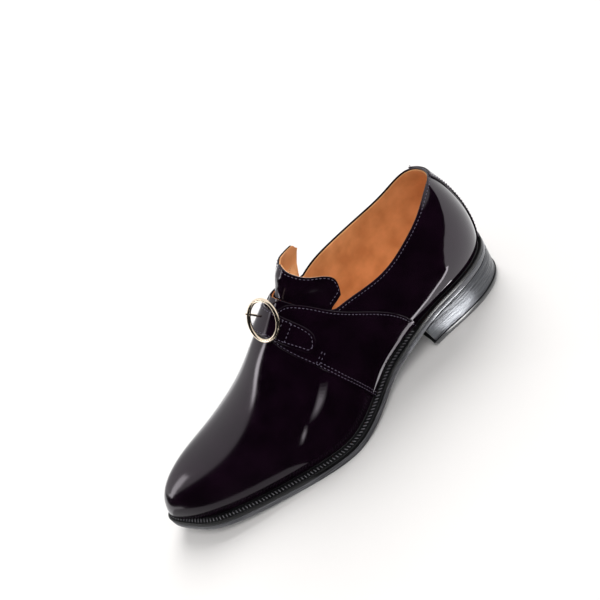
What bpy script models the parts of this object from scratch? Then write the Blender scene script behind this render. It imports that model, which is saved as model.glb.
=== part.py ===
"""Monk-strap dress shoe for the left foot, standing empty on its heel and forepart.

Frame: metres, +Z up, the toe toward -Y, the outer side of the foot toward +X. The origin is on the
ground, in the middle of the outsole's box. Lengths below are millimetres until a mesh is made.

Upper, tongue, flaps, strap and back strip are all read from one surface, the last. A point of it is
named by its station and its girth. The station is the distance from the back of the heel, along the
foot, at which the point's rib leaves the feather line, where upper and welt meet. The girth runs
along the rib: +1 at the outer feather line, 0 on the ridge of the instep, -1 at the inner feather
line. A turn runs round the outline from 0 at the back seam to 1 at the toe tip, so that ribs crowd
together at both round ends.
"""

import math
from collections import namedtuple

import bmesh
import bpy
import numpy as np
from mathutils import Matrix, Vector

MM = 0.001
GAP = 0.3  # clearance between two pieces that touch
WELD = 0.001 * MM  # points nearer than this are one

# The last
LAST_LENGTH = 292.0
TOE_TIP_X = -3.0
FAN = 38.0  # the ribs of the heel lean toward a point of the ridge this far forward of the back

# Bottom
OUTSOLE_THICK = 4.5
WELT_THICK = 2.8
BOTTOM_THICK = OUTSOLE_THICK + WELT_THICK
SEAT_OVERHANG, FORE_OVERHANG, TOE_OVERHANG = 3.0, 7.0, 2.6  # the outsole's edge past the feather line
WAIST_FROM, WAIST_TO, TOE_FROM = 60.0, 100.0, 262.0  # stations between which the overhang changes
BREAST_TOP, BREAST_BOTTOM = 76.5, 74.0  # stations of the heel's front face
HEEL_TAPER = 1.0
TOP_PIECE_THICK = 4.5
HEEL_HEIGHT = 24.0  # of stack and top piece together, at the back
INSOLE_RISE = 1.2  # above the feather line
INSOLE_INSET = 2.9

# Upper and what is sewn on it
WALL = 2.0
FLAP_THICK = 1.2
STRAP_THICK = 1.6
STRIP_THICK = 1.0
TONGUE_THICK = 2.2
THROAT_SIDE, THROAT_TIP = 112.0, 137.5  # stations where the throat's round end begins and closes
THROAT_GIRTH = 0.6
THROAT_INNER = 0.91  # the share of this girth that it takes up on the inner side
THROAT_BOW, THROAT_ROUND = 1.5, 0.6  # powers that shape its end
LOW_ROWS, HIGH_ROWS = 6, 8  # of the upper's net, below and above the throat's widest girth
ROW_CROWD = 1.4  # rows lie closer together toward the ridge

# Buckle
RING_RADIUS = 13.5  # of the wire's centre line
RING_WIRE = 1.4
BAR_WIRE = 0.6
BAR_STATIONS = (161.5, 142.0)  # where the bar leaves the front and the rear edge of the strap
BAR_GIRTH = 0.05
BAR_HEIGHT = 0.95  # above the upper
PRONG_WIRE = 0.8
PRONG_REACH = 0.4  # how far its tip passes the middle of the ring's wire
PRONG_BEND = (151.5, -0.07)  # station and girth where it turns up through the strap

Place = namedtuple("Place", "x station z")
RING_CENTRE = Place(7.8, 155.5, 94.2)
RING_TILT = Place(0.382, 0.681, 0.611)

Outline = namedtuple("Outline", "station inner outer")
FEATHER_OUTLINE = (
    Outline(8, -20, 20),
    Outline(25, -27, 29),
    Outline(50, -30, 31.3),
    Outline(80, -28, 30.5),
    Outline(110, -24, 31),
    Outline(140, -25, 44),
    Outline(165, -32.5, 52),
    Outline(190, -40, 48.5),
    Outline(210, -42, 42.8),
    Outline(230, -39, 37),
    Outline(250, -34, 30.5),
    Outline(268, -25.3, 22.6),
    Outline(283, -14.6, 11.7),
)

Height = namedtuple("Height", "station z")
FEATHER_HEIGHT = (
    Height(0, 31.8),
    Height(30, 30),
    Height(60, 28),
    Height(90, 22.3),
    Height(120, 14.3),
    Height(150, 8.6),
    Height(165, 7.3),
    Height(195, 7.1),
    Height(210, 7.7),
    Height(240, 10.1),
    Height(270, 14),
    Height(292, 18),
)
RIDGE_HEIGHT = (
    Height(290.5, 25),
    Height(284, 34),
    Height(270, 40.2),
    Height(250, 42.7),
    Height(220, 48.5),
    Height(190, 63.8),
    Height(165, 83),
    Height(140, 100),
    Height(115, 119),
    Height(90, 124.5),
    Height(60, 126),
    Height(36, 125),
    Height(20, 128),
)

Sway = namedtuple("Sway", "station x")
RIDGE_SWAY = (
    Sway(38, 0),
    Sway(90, 1),
    Sway(140, 0),
    Sway(170, -3),
    Sway(200, -7),
    Sway(230, -9),
    Sway(260, -8.5),
)

# The two inner control points of each rib, as shares of its width (flare, spread) and height (lift)
Rib = namedtuple("Rib", "station flare_out flare_in lift_out lift_in spread_out spread_in")
RIB_SHAPE = (
    Rib(0, 0.30, 0.30, 0.32, 0.32, 0.70, 0.70),
    Rib(60, 0.26, 0.22, 0.42, 0.45, 0.66, 0.66),
    Rib(110, 0.21, 0.09, 0.53, 0.59, 0.50, 0.50),
    Rib(150, 0.17, 0.10, 0.54, 0.62, 0.36, 0.40),
    Rib(180, 0.13, 0.12, 0.56, 0.66, 0.38, 0.42),
    Rib(210, 0.10, 0.10, 0.60, 0.72, 0.48, 0.46),
    Rib(250, 0.12, 0.12, 0.70, 0.75, 0.55, 0.50),
    Rib(292, 0.15, 0.15, 0.75, 0.75, 0.55, 0.55),
)

# Girths of the top line, behind the throat
Collar = namedtuple("Collar", "station outer inner")
COLLAR = (
    Collar(0, 0.445, 0.445),
    Collar(15, 0.450, 0.480),
    Collar(35, 0.520, 0.537),
    Collar(55, 0.597, 0.566),
    Collar(75, 0.645, 0.564),
    Collar(95, 0.640, 0.550),
    Collar(108.5, 0.611, 0.546),
    Collar(112, THROAT_GIRTH, THROAT_GIRTH * THROAT_INNER),
)

# Rear and front edges of the strap-bearing flap, from the feather line up to its end at the buckle
Flap = namedtuple("Flap", "girth rear front")
FLAP = (
    Flap(0.995, 78, 133.6),
    Flap(0.88, 84.6, 137.8),
    Flap(0.80, 92.5, 140.9),
    Flap(0.69, 106.3, 145),
    Flap(0.58, 116.8, 148.8),
    Flap(0.43, 125.5, 154.2),
    Flap(0.30, 132.0, 157),
    Flap(0.22, 136.8, 156.5),
    Flap(0.17, 141.5, 153.5),
)

# Rear and front edges of the strap on one side of the ridge
Strap = namedtuple("Strap", "girth rear front")
STRAP = (
    Strap(0.00, 143.4, 160.6),
    Strap(0.13, 142.8, 158.6),
    Strap(0.28, 140.6, 155.0),
    Strap(0.40, 137.4, 151.0),
    Strap(0.47, 136.2, 148.0),
    Strap(0.51, 138.2, 145.2),
    Strap(0.525, 141.0, 142.6),
)

# Half width of the strip that covers the back seam, in turns
Strip = namedtuple("Strip", "girth turn")
BACK_STRIP = (
    Strip(0.455, 0.080),
    Strip(0.55, 0.058),
    Strip(0.70, 0.048),
    Strip(0.85, 0.053),
    Strip(0.99, 0.075),
)

# Station of the tongue's top edge, and of its hidden root, across its half width
Tongue = namedtuple("Tongue", "across top root")
TONGUE = (
    Tongue(0.00, 119.0, 152),
    Tongue(0.25, 120.5, 151),
    Tongue(0.46, 118.2, 147),
    Tongue(0.68, 111.0, 140),
    Tongue(0.865, 102.6, 133),
    Tongue(1.00, 106.5, 129),
)
TONGUE_GIRTH = 0.575
TONGUE_NARROW = 0.13  # the share of it that is taken off at the inner edge
TONGUE_CLEAR = WALL + 2 * GAP  # how far the tongue lies under the face of the last
TONGUE_OUT = 0.52  # the share of its height at which it has left the throat
WING_FREE = 0.61  # from this share of its height the inner wing stands free
WING_CORNER = (-18.3, -22.3, -4.6)  # free corner of the tongue's inner wing, from the ridge
WING_BEND = 2.5
WING_CUT = 0.16  # share of the height that is cut off at that corner


def column(table, name):
    return np.array([getattr(row, name) for row in table], float)


def spline(table, x_name, y_name):
    """Natural cubic spline through two columns of a table, straight beyond both ends."""
    x, y = column(table, x_name), column(table, y_name)
    if x[0] > x[-1]:
        x, y = x[::-1], y[::-1]
    return cubic(x, y)


def cubic(x, y):
    step = np.diff(x)
    rise = np.diff(y) / step
    count = len(x)
    system, right = np.eye(count), np.zeros(count)
    for i in range(1, count - 1):
        system[i, i - 1 : i + 2] = step[i - 1], 2 * (step[i - 1] + step[i]), step[i]
        right[i] = 6 * (rise[i] - rise[i - 1])
    bend = np.linalg.solve(system, right)
    first = rise[0] - step[0] * (2 * bend[0] + bend[1]) / 6
    last = rise[-1] + step[-1] * (bend[-2] + 2 * bend[-1]) / 6

    def value(at):
        at = np.asarray(at, float)
        i = np.clip(np.searchsorted(x, at) - 1, 0, count - 2)
        inside = np.clip(at, x[0], x[-1])
        a, b = (x[i + 1] - inside) / step[i], (inside - x[i]) / step[i]
        bow = ((a**3 - a) * bend[i] + (b**3 - b) * bend[i + 1]) * step[i] ** 2 / 6
        ends = np.minimum(at - x[0], 0) * first + np.maximum(at - x[-1], 0) * last
        return a * y[i] + b * y[i + 1] + bow + ends

    return value


def through(points):
    """Runs of the given points along a smooth curve, and the curve as a function of the run."""
    points = np.asarray(points, float)
    run = np.concatenate([[0], np.cumsum(np.linalg.norm(np.diff(points, axis=0), axis=1))])
    axes = [cubic(run, points[:, k]) for k in range(points.shape[1])]
    return run, lambda at: np.stack([axis(at) for axis in axes], -1)


def smooth_step(low, high, at):
    t = np.clip((np.asarray(at, float) - low) / (high - low), 0, 1)
    return t * t * (3 - 2 * t)


def station_to_turn(station):
    return np.arccos(1 - 2 * np.clip(np.asarray(station, float), 0, LAST_LENGTH) / LAST_LENGTH) / np.pi


def turn_to_station(turn):
    return LAST_LENGTH * (1 - np.cos(np.pi * np.asarray(turn, float))) / 2


class Last:
    """The surface that the upper is pulled over. Its points are (x, station, z)."""

    SAMPLES = 8001

    def __init__(self):
        back, tip = (0.0, 0.0), (TOE_TIP_X, LAST_LENGTH)
        outer = [(row.outer, row.station) for row in FEATHER_OUTLINE]
        inner = [(row.inner, row.station) for row in FEATHER_OUTLINE]
        loop = [back, *outer, tip, *inner[::-1]]
        ahead, behind = loop[:4], loop[-3:]
        run, curve = through(behind + loop + ahead)
        start, end = run[len(behind)], run[len(behind) + len(loop)]
        loop = curve(np.linspace(start, end, self.SAMPLES))[:-1]
        loop = np.roll(loop, -loop[:, 1].argmin(), axis=0)
        loop[:, 1] -= loop[0, 1]
        loop[:, 1] *= LAST_LENGTH / loop[:, 1].max()
        self.loop = np.vstack([loop, loop[:1]])
        toe = self.loop[:, 1].argmax()
        self.half = {1: self.loop[: toe + 1], -1: self.loop[toe:][::-1]}
        self.feather_z = spline(FEATHER_HEIGHT, "station", "z")
        ridge = np.array([(LAST_LENGTH, self.feather_height(LAST_LENGTH))] + [tuple(r) for r in RIDGE_HEIGHT])
        mirrored = ridge[1:3] * (1, -1) + (0, 2 * ridge[0, 1])
        run, curve = through(np.vstack([mirrored[::-1], ridge]))
        self.ridge = curve(np.linspace(run[2], run[-1], self.SAMPLES))[::-1]
        sway = np.append(column(RIDGE_SWAY, "x"), self.loop[toe, 0])
        self.sway = cubic(np.append(column(RIDGE_SWAY, "station"), LAST_LENGTH), sway)
        self.shape = {name: spline(RIB_SHAPE, "station", name) for name in Rib._fields[1:]}

    def feather_height(self, station):
        """The feather line's height, kept high enough for the sole's bottom to stay on the ground."""
        return np.maximum(self.feather_z(station), BOTTOM_THICK)

    def feather(self, station, side):
        half = self.half[side]
        x = np.interp(station, np.maximum.accumulate(half[:, 1]), half[:, 0])
        return np.stack([x, station, self.feather_height(station)], -1)

    def ridge_height(self, station):
        return np.interp(station, np.maximum.accumulate(self.ridge[:, 0]), self.ridge[:, 1])

    def ridge_point(self, station):
        """Where the rib that leaves the feather line at this station meets the ridge."""
        far = math.hypot(LAST_LENGTH, FAN) - LAST_LENGTH
        along = np.hypot(station, FAN) - far * station / LAST_LENGTH
        slope = self.ridge_height(along - 0.5) - self.ridge_height(along + 0.5)
        return np.stack([self.sway(along), along, self.ridge_height(along)], -1), slope

    def rib(self, station, side):
        """The four control points of a rib, from the feather line to the ridge."""
        end = "out" if side > 0 else "in"
        flare, lift, spread = (
            self.shape[f"{name}_{end}"](station)[..., None] for name in ("flare", "lift", "spread")
        )
        foot = self.feather(station, side)
        top, slope = self.ridge_point(station)
        away = (foot - top) * (1, 1, 0)
        width = np.maximum(np.linalg.norm(away, axis=-1, keepdims=True), 1e-6)
        away = away / width
        rise = (top - foot)[..., 2:] * (0, 0, 1)
        lean = away.copy()
        lean[..., 2] = np.clip(slope, -1.5, 1.5) * -away[..., 1]
        return foot, foot + away * flare * width + rise * lift, top + lean * spread * width, top

    def point(self, station, girth):
        station, girth = np.broadcast_arrays(np.asarray(station, float), np.asarray(girth, float))
        found = np.zeros(station.shape + (3,))
        for side in (1, -1):
            here = girth >= 0 if side > 0 else girth < 0
            if here.any():
                a, b, c, d = self.rib(station[here], side)
                v = 1 - np.abs(girth[here])[..., None]
                found[here] = (1 - v) ** 3 * a + 3 * v * (1 - v) ** 2 * b + 3 * v * v * (1 - v) * c + v**3 * d
        return found + (0, 0, GAP)

    def normal(self, turn, girth):
        """Outward unit normal, by differences. The girth is kept off the ridge and the feather line."""
        turn, girth = np.broadcast_arrays(np.asarray(turn, float), np.asarray(girth, float))
        small = 1e-3
        side = np.where(girth >= 0, 1, -1)
        inner = np.clip(np.abs(girth), small, 1 - small) * side
        along = self.at_turn(turn + small, inner) - self.at_turn(turn - small, inner)
        around = self.at_turn(turn, inner + small * side) - self.at_turn(turn, inner - small * side)
        n = np.cross(around, along) * np.where(side > 0, 1, -1)[..., None]
        return n / np.linalg.norm(n, axis=-1, keepdims=True)

    def at_turn(self, turn, girth):
        """Point by turn. A negative turn is the same rib on the other side of the back seam."""
        turn, girth = np.broadcast_arrays(np.asarray(turn, float), np.asarray(girth, float))
        return self.point(turn_to_station(np.abs(turn)), girth * np.where(turn < 0, -1, 1))

    def offset(self, station, girth, height):
        """A point this far out from the surface."""
        out = self.normal(station_to_turn(station), girth)
        return self.point(station, girth) + out * np.asarray(height)[..., None]


LAST = Last()


def overhang(station):
    """How far the sole's edge stands out from the feather line."""
    wider = (FORE_OVERHANG - SEAT_OVERHANG) * smooth_step(WAIST_FROM, WAIST_TO, station)
    narrower = (FORE_OVERHANG - TOE_OVERHANG) * smooth_step(TOE_FROM, LAST_LENGTH, station)
    return SEAT_OVERHANG + wider - narrower


def outline(extra, samples):
    """The feather outline moved outward by extra(station), as (x, station) points, evenly round."""
    loop = LAST.loop[:-1]
    along = np.roll(loop, -1, axis=0) - np.roll(loop, 1, axis=0)
    along /= np.linalg.norm(along, axis=1)[:, None]
    moved = loop + np.stack([along[:, 1], -along[:, 0]], -1) * np.asarray(extra(loop[:, 1]))[..., None]
    run = np.concatenate([[0], np.cumsum(np.linalg.norm(np.diff(moved, axis=0), axis=1))])
    at = np.linspace(0, run[-1], samples, endpoint=False)
    return np.stack([np.interp(at, run, moved[:, 0]), np.interp(at, run, moved[:, 1])], -1)


SOLE_EDGE = outline(overhang, 4000)
SHIFT_X = -(SOLE_EDGE[:, 0].min() + SOLE_EDGE[:, 0].max()) / 2
SHIFT_Y = (SOLE_EDGE[:, 1].min() + SOLE_EDGE[:, 1].max()) / 2


def world(points):
    """From (x, station, z) in millimetres to the part's frame."""
    points = np.asarray(points, float)
    return np.stack([points[..., 0] + SHIFT_X, SHIFT_Y - points[..., 1], points[..., 2]], -1) * MM


def finish(name, colour, rough, metallic):
    material = bpy.data.materials.new(name)
    material.use_nodes = True
    shader = material.node_tree.nodes["Principled BSDF"]
    shader.inputs["Base Color"].default_value = (*colour, 1.0)
    shader.inputs["Roughness"].default_value = rough
    shader.inputs["Metallic"].default_value = metallic
    return material


def add(name, mesh, material):
    """One object of the part, its points welded and its faces turned outward."""
    bmesh.ops.remove_doubles(mesh, verts=mesh.verts, dist=WELD)
    bmesh.ops.dissolve_degenerate(mesh, edges=mesh.edges, dist=WELD)
    bmesh.ops.recalc_face_normals(mesh, faces=mesh.faces)
    if mesh.calc_volume(signed=True) < 0:
        bmesh.ops.reverse_faces(mesh, faces=mesh.faces)
    data = bpy.data.meshes.new(name)
    mesh.to_mesh(data)
    mesh.free()
    data.shade_smooth()
    data.set_sharp_from_angle(angle=math.radians(40))
    if material:
        data.materials.append(material)
    obj = bpy.data.objects.new(name, data)
    bpy.context.scene.collection.objects.link(obj)
    return obj


def add_grid(mesh, points, closed=False):
    """Faces over a grid of points (rows, columns). A closed grid joins its last column to its first."""
    rows, columns = points.shape[:2]
    verts = [[mesh.verts.new(p) for p in row] for row in world(points)]
    for i in range(rows - 1):
        for j in range(columns if closed else columns - 1):
            k = (j + 1) % columns
            mesh.faces.new((verts[i][j], verts[i][k], verts[i + 1][k], verts[i + 1][j]))


def rod(mesh, start, end, radius, sides=8):
    """A round-ended rod between two points of the part's frame."""
    start, end = Vector(start), Vector(end)
    along = end - start
    turn = along.to_track_quat("Z", "Y").to_matrix().to_4x4()
    place = Matrix.Translation((start + end) / 2) @ turn
    made = bmesh.ops.create_uvsphere(mesh, u_segments=sides, v_segments=6, radius=radius)
    for vert in made["verts"]:
        half = along.length / 2
        vert.co.z += half if vert.co.z > 0 else -half
        vert.co = place @ vert.co


def helper(name, mesh):
    """A form used to cut or to join, left out of the part."""
    data = bpy.data.meshes.new(name)
    mesh.to_mesh(data)
    mesh.free()
    obj = bpy.data.objects.new(name, data)
    obj.hide_render = True
    bpy.context.scene.collection.objects.link(obj)
    return obj


def combine(obj, operation, other):
    boolean = obj.modifiers.new(other.name, "BOOLEAN")
    boolean.solver = "EXACT"
    boolean.operation = operation
    boolean.object = other


def plate(name, outer, inner, material):
    """A closed plate between two grids of points: its two faces and the rim between them."""
    mesh = bmesh.new()
    add_grid(mesh, outer)
    add_grid(mesh, inner[:, ::-1])
    for edge in (np.s_[0, :], np.s_[-1, :], np.s_[:, 0], np.s_[:, -1]):
        add_grid(mesh, np.stack([outer[edge], inner[edge]]))
    return add(name, mesh, material)


def between(table, name, low_name, high_name, at, share):
    """A value between two columns of a table, at a row position and a share of the way across."""
    low, high = spline(table, name, low_name)(at), spline(table, name, high_name)(at)
    return low + (high - low) * share


def rungs(edge, first, last, count, round_last=True):
    """Pairs of points, inner and outer, across an outline at stations that crowd at its round ends."""
    turn = np.linspace(0, 1, count)
    if round_last:
        share = (1 - np.cos(np.pi * turn)) / 2
    else:
        share = 1 - np.cos(np.pi / 2 * turn)
    station = first + (last - first) * share
    back, toe = int(edge[:, 1].argmin()), int(edge[:, 1].argmax())
    loop = np.roll(edge, -back, axis=0)
    toe = (toe - back) % len(edge)
    outer, inner = loop[: toe + 1], np.vstack([loop[toe:], loop[:1]])[::-1]
    sides = [np.interp(station, np.maximum.accumulate(s[:, 1]), s[:, 0]) for s in (inner, outer)]
    return np.stack([np.stack([x, station], -1) for x in sides], 1)


def slab(name, top, bottom, material):
    """A slab between two sets of rungs (count, 2, 3)."""
    mesh = bmesh.new()
    add_grid(mesh, top)
    add_grid(mesh, bottom)
    for side in (0, 1):
        add_grid(mesh, np.stack([top[:, side], bottom[:, side]]))
    for end in (0, -1):
        add_grid(mesh, np.stack([top[end], bottom[end]]))
    return add(name, mesh, material)


def at_height(rung, z):
    """Rungs (count, 2, 2) given a height, a number or a function of the station."""
    height = z(rung[..., 1]) if callable(z) else np.full(rung.shape[:2], z)
    return np.concatenate([rung, height[..., None]], -1)


def make_outsole(material):
    edge = rungs(SOLE_EDGE, SOLE_EDGE[:, 1].min(), SOLE_EDGE[:, 1].max(), 56)
    top = at_height(edge, lambda s: LAST.feather_height(s) - WELT_THICK)
    bottom = at_height(edge, lambda s: LAST.feather_height(s) - BOTTOM_THICK)
    return slab("outsole", top, bottom, material)


def make_welt(material):
    """The strip that joins upper and outsole, all round the shoe."""
    inner = outline(lambda s: np.full_like(s, -WALL), 120)
    outer = outline(overhang, 120)
    mesh = bmesh.new()
    section = []
    for edge, drop in ((outer, 0), (outer, WELT_THICK - GAP), (inner, WELT_THICK - GAP), (inner, 0)):
        z = LAST.feather_height(edge[:, 1]) - drop
        section.append(np.concatenate([edge, z[:, None]], -1))
    add_grid(mesh, np.stack([*section, section[0]]), closed=True)
    return add("welt", mesh, material)


def make_insole(material):
    edge = outline(lambda s: np.full_like(s, -INSOLE_INSET), 4000)
    pairs = rungs(edge, edge[:, 1].min(), edge[:, 1].max(), 40)
    top = at_height(pairs, lambda s: LAST.feather_height(s) + INSOLE_RISE)
    bottom = at_height(pairs, lambda s: LAST.feather_height(s) - WELT_THICK + GAP)
    return slab("insole", top, bottom, material)


def heel_rungs(share):
    """The heel block's outline at a share of its height: 0 under the outsole, 1 on the ground."""
    taper = HEEL_TAPER * share
    edge = outline(lambda s: overhang(s) - taper, 4000)
    breast = BREAST_TOP + (BREAST_BOTTOM - BREAST_TOP) * share
    return rungs(edge, edge[:, 1].min(), breast, 22, round_last=False)


def make_heel(stack_material, top_piece_material):
    def seat(station):
        return LAST.feather_height(station) - BOTTOM_THICK - GAP

    joint = heel_rungs(1 - TOP_PIECE_THICK / HEEL_HEIGHT)
    top = at_height(heel_rungs(0), seat)
    bottom = at_height(joint, TOP_PIECE_THICK + GAP)
    slab("heel_stack", top, bottom, stack_material)
    top = at_height(joint, TOP_PIECE_THICK)
    bottom = at_height(heel_rungs(1), 0.0)
    slab("heel_top_piece", top, bottom, top_piece_material)


def throat_station(girth):
    """Where the round end of the throat crosses this girth."""
    share = (1 - (np.abs(girth) / THROAT_GIRTH) ** (1 / THROAT_ROUND)) ** (1 / THROAT_BOW)
    return THROAT_SIDE + (THROAT_TIP - THROAT_SIDE) * share


def upper_grids(side):
    """Stations and girths of the quarter's net, up to the top line, and of the vamp's, up to the ridge."""
    split = station_to_turn(THROAT_SIDE)
    behind, ahead = (turn_to_station(np.linspace(*ends)) for ends in ((0, split, 19), (split, 1, 28)))
    top = spline(COLLAR, "station", "outer" if side > 0 else "inner")(behind)
    low, high = np.linspace(0, 1, LOW_ROWS + 1)[:, None], np.linspace(1, 0, HIGH_ROWS + 1)[1:, None]
    quarter = 1 - (1 - top) * low
    edge = THROAT_GIRTH * (1 if side > 0 else THROAT_INNER)
    vamp = np.vstack([1 - (1 - edge) * low, edge * high**ROW_CROWD])
    for station, girth in ((behind, quarter), (ahead, vamp + 0 * ahead)):
        yield station + 0 * girth, np.maximum(girth, 1e-9) * side


def wall_normal(turn, girth):
    """The normal of the last, made one at the ridge and at the toe tip, where two sides meet."""
    normal = LAST.normal(turn, girth)
    other = LAST.normal(turn, -np.sign(girth) * 1e-9)
    ridge = (np.abs(girth) < 1e-6)[..., None]
    both = normal + other
    normal = np.where(ridge, both / np.linalg.norm(both, axis=-1, keepdims=True), normal)
    return np.where(np.asarray(turn)[..., None] > 0.999, (0.0, 1.0, 0.0), normal)


def make_upper(material):
    """Vamp and quarters: one wall, open at the top line and all along the bottom."""
    mesh = bmesh.new()
    for side in (1, -1):
        walls = []
        for station, girth in upper_grids(side):
            outer = LAST.point(station, girth)
            inner = outer - WALL * wall_normal(station_to_turn(station), girth)
            inner[0, :, 2] = outer[0, :, 2]
            walls.append((outer, inner))
            add_grid(mesh, outer)
            add_grid(mesh, inner)
            add_grid(mesh, np.stack([outer[0], inner[0]]))
        quarter, vamp = walls
        add_grid(mesh, np.stack([wall[-1] for wall in quarter]))
        add_grid(mesh, np.stack([wall[LOW_ROWS:, 0] for wall in vamp]))
    obj = add("upper", mesh, material)
    combine(obj, "DIFFERENCE", make_throat())
    return obj


def make_throat():
    """The form that cuts the throat's round end out of the upper."""
    girth, share = np.meshgrid(THROAT_GIRTH * np.linspace(-1, 1, 31), np.linspace(0, 1, 6), indexing="ij")
    start = THROAT_SIDE - 0.5
    station = start + (throat_station(girth) - start) * share
    girth = girth * np.where(share == 0, 0.98, 1) * np.where(girth < 0, THROAT_INNER, 1)
    high, low = (LAST.offset(station, girth, reach) for reach in (2 * WALL, -3 * WALL))
    obj = plate("throat", high, low, None)
    obj.hide_render = True
    return obj


def crowded(count):
    """Shares from -1 to 1 that lie closer together in the middle, where the ridge bends hardest."""
    even = np.linspace(-1, 1, count)
    return np.sign(even) * np.abs(even) ** 1.4


def tongue_points(across, height, depth):
    """Points of the tongue. It lies under the upper, then its face rises to the face of the last.

    Its outer wing follows the last. Its inner wing stands up off it, with the corner cut away.
    """
    height = height * (1 - WING_CUT * smooth_step(0.84, 1.02, -across))
    under = -TONGUE_CLEAR * (1 - smooth_step(TONGUE_OUT, 0.85, height)) - depth
    reach = np.abs(across)
    girth = TONGUE_GIRTH * across * np.where(across < 0, 1 - TONGUE_NARROW * reach**2, 1)
    on_last = LAST.offset(tongue_station(reach, height), girth, under)
    ridge = LAST.offset(tongue_station(0 * reach, height), 0 * across, under)
    x, station, z = WING_CORNER
    wing = np.stack([x * reach, station * reach**WING_BEND, z * reach**WING_BEND], -1)
    free = (smooth_step(TONGUE_OUT, WING_FREE, height) * smooth_step(0.0, 0.5, -across))[..., None]
    return on_last * (1 - free) + (ridge + wing) * free


def tongue_station(reach, height):
    return between(TONGUE, "across", "root", "top", reach, height)


def make_tongue(material):
    across, height = np.meshgrid(crowded(25), np.linspace(0, 1, 10))
    outer = tongue_points(across, height, 0.0)
    inner = tongue_points(across, height, TONGUE_THICK)
    return plate("tongue", outer, inner, material)


def make_flap(name, side, material):
    """The part of the quarter that carries the strap, laid over the vamp."""
    rows = np.linspace(FLAP[0].girth, FLAP[-1].girth, 19)
    girth, share = np.meshgrid(rows, np.linspace(0, 1, 11), indexing="ij")
    station = between(FLAP, "girth", "rear", "front", girth, share)
    low, high = (LAST.offset(station, girth * side, h) for h in (GAP, GAP + FLAP_THICK))
    return plate(name, high, low, material)


STRAP_BASE = 2 * GAP + FLAP_THICK


def strap_points(girth, share, height):
    station = between(STRAP, "girth", "rear", "front", np.abs(girth), share)
    return LAST.offset(station, girth, height)


def make_strap(material):
    end = STRAP[-1].girth
    rows = end * np.sin(np.linspace(-math.pi / 2, math.pi / 2, 37))
    girth, share = np.meshgrid(rows, np.linspace(0, 1, 7), indexing="ij")
    high = strap_points(girth, share, STRAP_BASE + STRAP_THICK)
    low = strap_points(girth, share, STRAP_BASE)
    return plate("strap", high, low, material)


def make_back_strip(material):
    rows = np.linspace(BACK_STRIP[0].girth, BACK_STRIP[-1].girth, 13)
    girth, share = np.meshgrid(rows, np.linspace(-1, 1, 11), indexing="ij")
    turn = spline(BACK_STRIP, "girth", "turn")(girth) * share
    girth = girth * np.where(turn < 0, -1, 1)
    face, out = LAST.point(turn_to_station(turn), girth), LAST.normal(np.abs(turn), girth)
    return plate("back_strip", face + out * (GAP + STRIP_THICK), face + out * GAP, material)


def buckle_frame():
    """Centre and axes of the buckle: rearward along its bar, toward the outer side, and out of its plane."""
    out = Vector((RING_TILT.x, -RING_TILT.station, RING_TILT.z)).normalized()
    across = (Vector((1, 0, 0)) - out * out.x).normalized()
    return Vector(world(tuple(RING_CENTRE))), out.cross(across), across, out


def hoop(radius):
    """The ring as a mesh, its wire of this radius."""
    centre, along, across, out = buckle_frame()
    mesh = bmesh.new()
    wire = []
    for a in np.linspace(0, 2 * np.pi, 36, endpoint=False):
        ray = along * math.cos(a) + across * math.sin(a)
        middle = centre + ray * RING_RADIUS * MM
        turns = np.linspace(0, 2 * np.pi, 8, endpoint=False)
        places = [middle + (ray * math.cos(b) + out * math.sin(b)) * radius * MM for b in turns]
        wire.append([mesh.verts.new(place) for place in places])
    for i, here in enumerate(wire):
        following = wire[(i + 1) % len(wire)]
        for j in range(len(here)):
            k = (j + 1) % len(here)
            mesh.faces.new((here[j], following[j], following[k], here[k]))
    bmesh.ops.recalc_face_normals(mesh, faces=mesh.faces)
    return mesh


def make_buckle(strap, material):
    """A ring, a bar that dips under the strap, and a prong that comes up through the strap."""
    centre, along, across, out = buckle_frame()
    obj = add("buckle", hoop(RING_WIRE), material)
    front, rear = (Vector(world(LAST.offset(s, BAR_GIRTH, BAR_HEIGHT))) for s in BAR_STATIONS)
    rim = along * RING_RADIUS * MM
    for i, (start, end) in enumerate(((centre - rim, front), (front, rear), (rear, centre + rim))):
        bar = bmesh.new()
        rod(bar, start, end, BAR_WIRE * MM)
        combine(obj, "UNION", helper(f"bar_{i}", bar))
    bend = Vector(world(LAST.offset(*PRONG_BEND, BAR_HEIGHT)))
    tip = centre - across * (RING_RADIUS + PRONG_REACH) * MM + out * (RING_WIRE + 0.4 * PRONG_WIRE) * MM
    for name, radius, start, end, target, operation in (
        ("prong_root", BAR_WIRE, (front + rear) / 2, bend, obj, "UNION"),
        ("prong", PRONG_WIRE, bend, tip, obj, "UNION"),
        ("prong_hole", PRONG_WIRE + GAP, bend, tip, strap, "DIFFERENCE"),
    ):
        form = bmesh.new()
        rod(form, start, end, radius * MM)
        combine(target, operation, helper(name, form))
    combine(strap, "DIFFERENCE", helper("ring_groove", hoop(RING_WIRE + GAP)))


def clear_scene():
    for obj in list(bpy.data.objects):
        bpy.data.objects.remove(obj, do_unlink=True)


def main():
    clear_scene()
    oxblood = finish("oxblood_leather", (0.012, 0.006, 0.014), 0.12, 0.0)
    edge = finish("black_sole_leather", (0.012, 0.012, 0.013), 0.3, 0.0)
    rubber = finish("black_rubber", (0.01, 0.01, 0.01), 0.5, 0.0)
    tan = finish("tan_lining_leather", (0.45, 0.2, 0.07), 0.55, 0.0)
    brass = finish("pale_brass", (0.8, 0.66, 0.5), 0.15, 1.0)
    make_outsole(edge)
    make_welt(edge)
    make_heel(edge, rubber)
    make_insole(tan)
    make_upper(oxblood)
    make_tongue(oxblood)
    make_flap("flap_lateral", 1, oxblood)
    make_flap("flap_medial", -1, oxblood)
    make_back_strip(oxblood)
    make_buckle(make_strap(oxblood), brass)


main()
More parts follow.
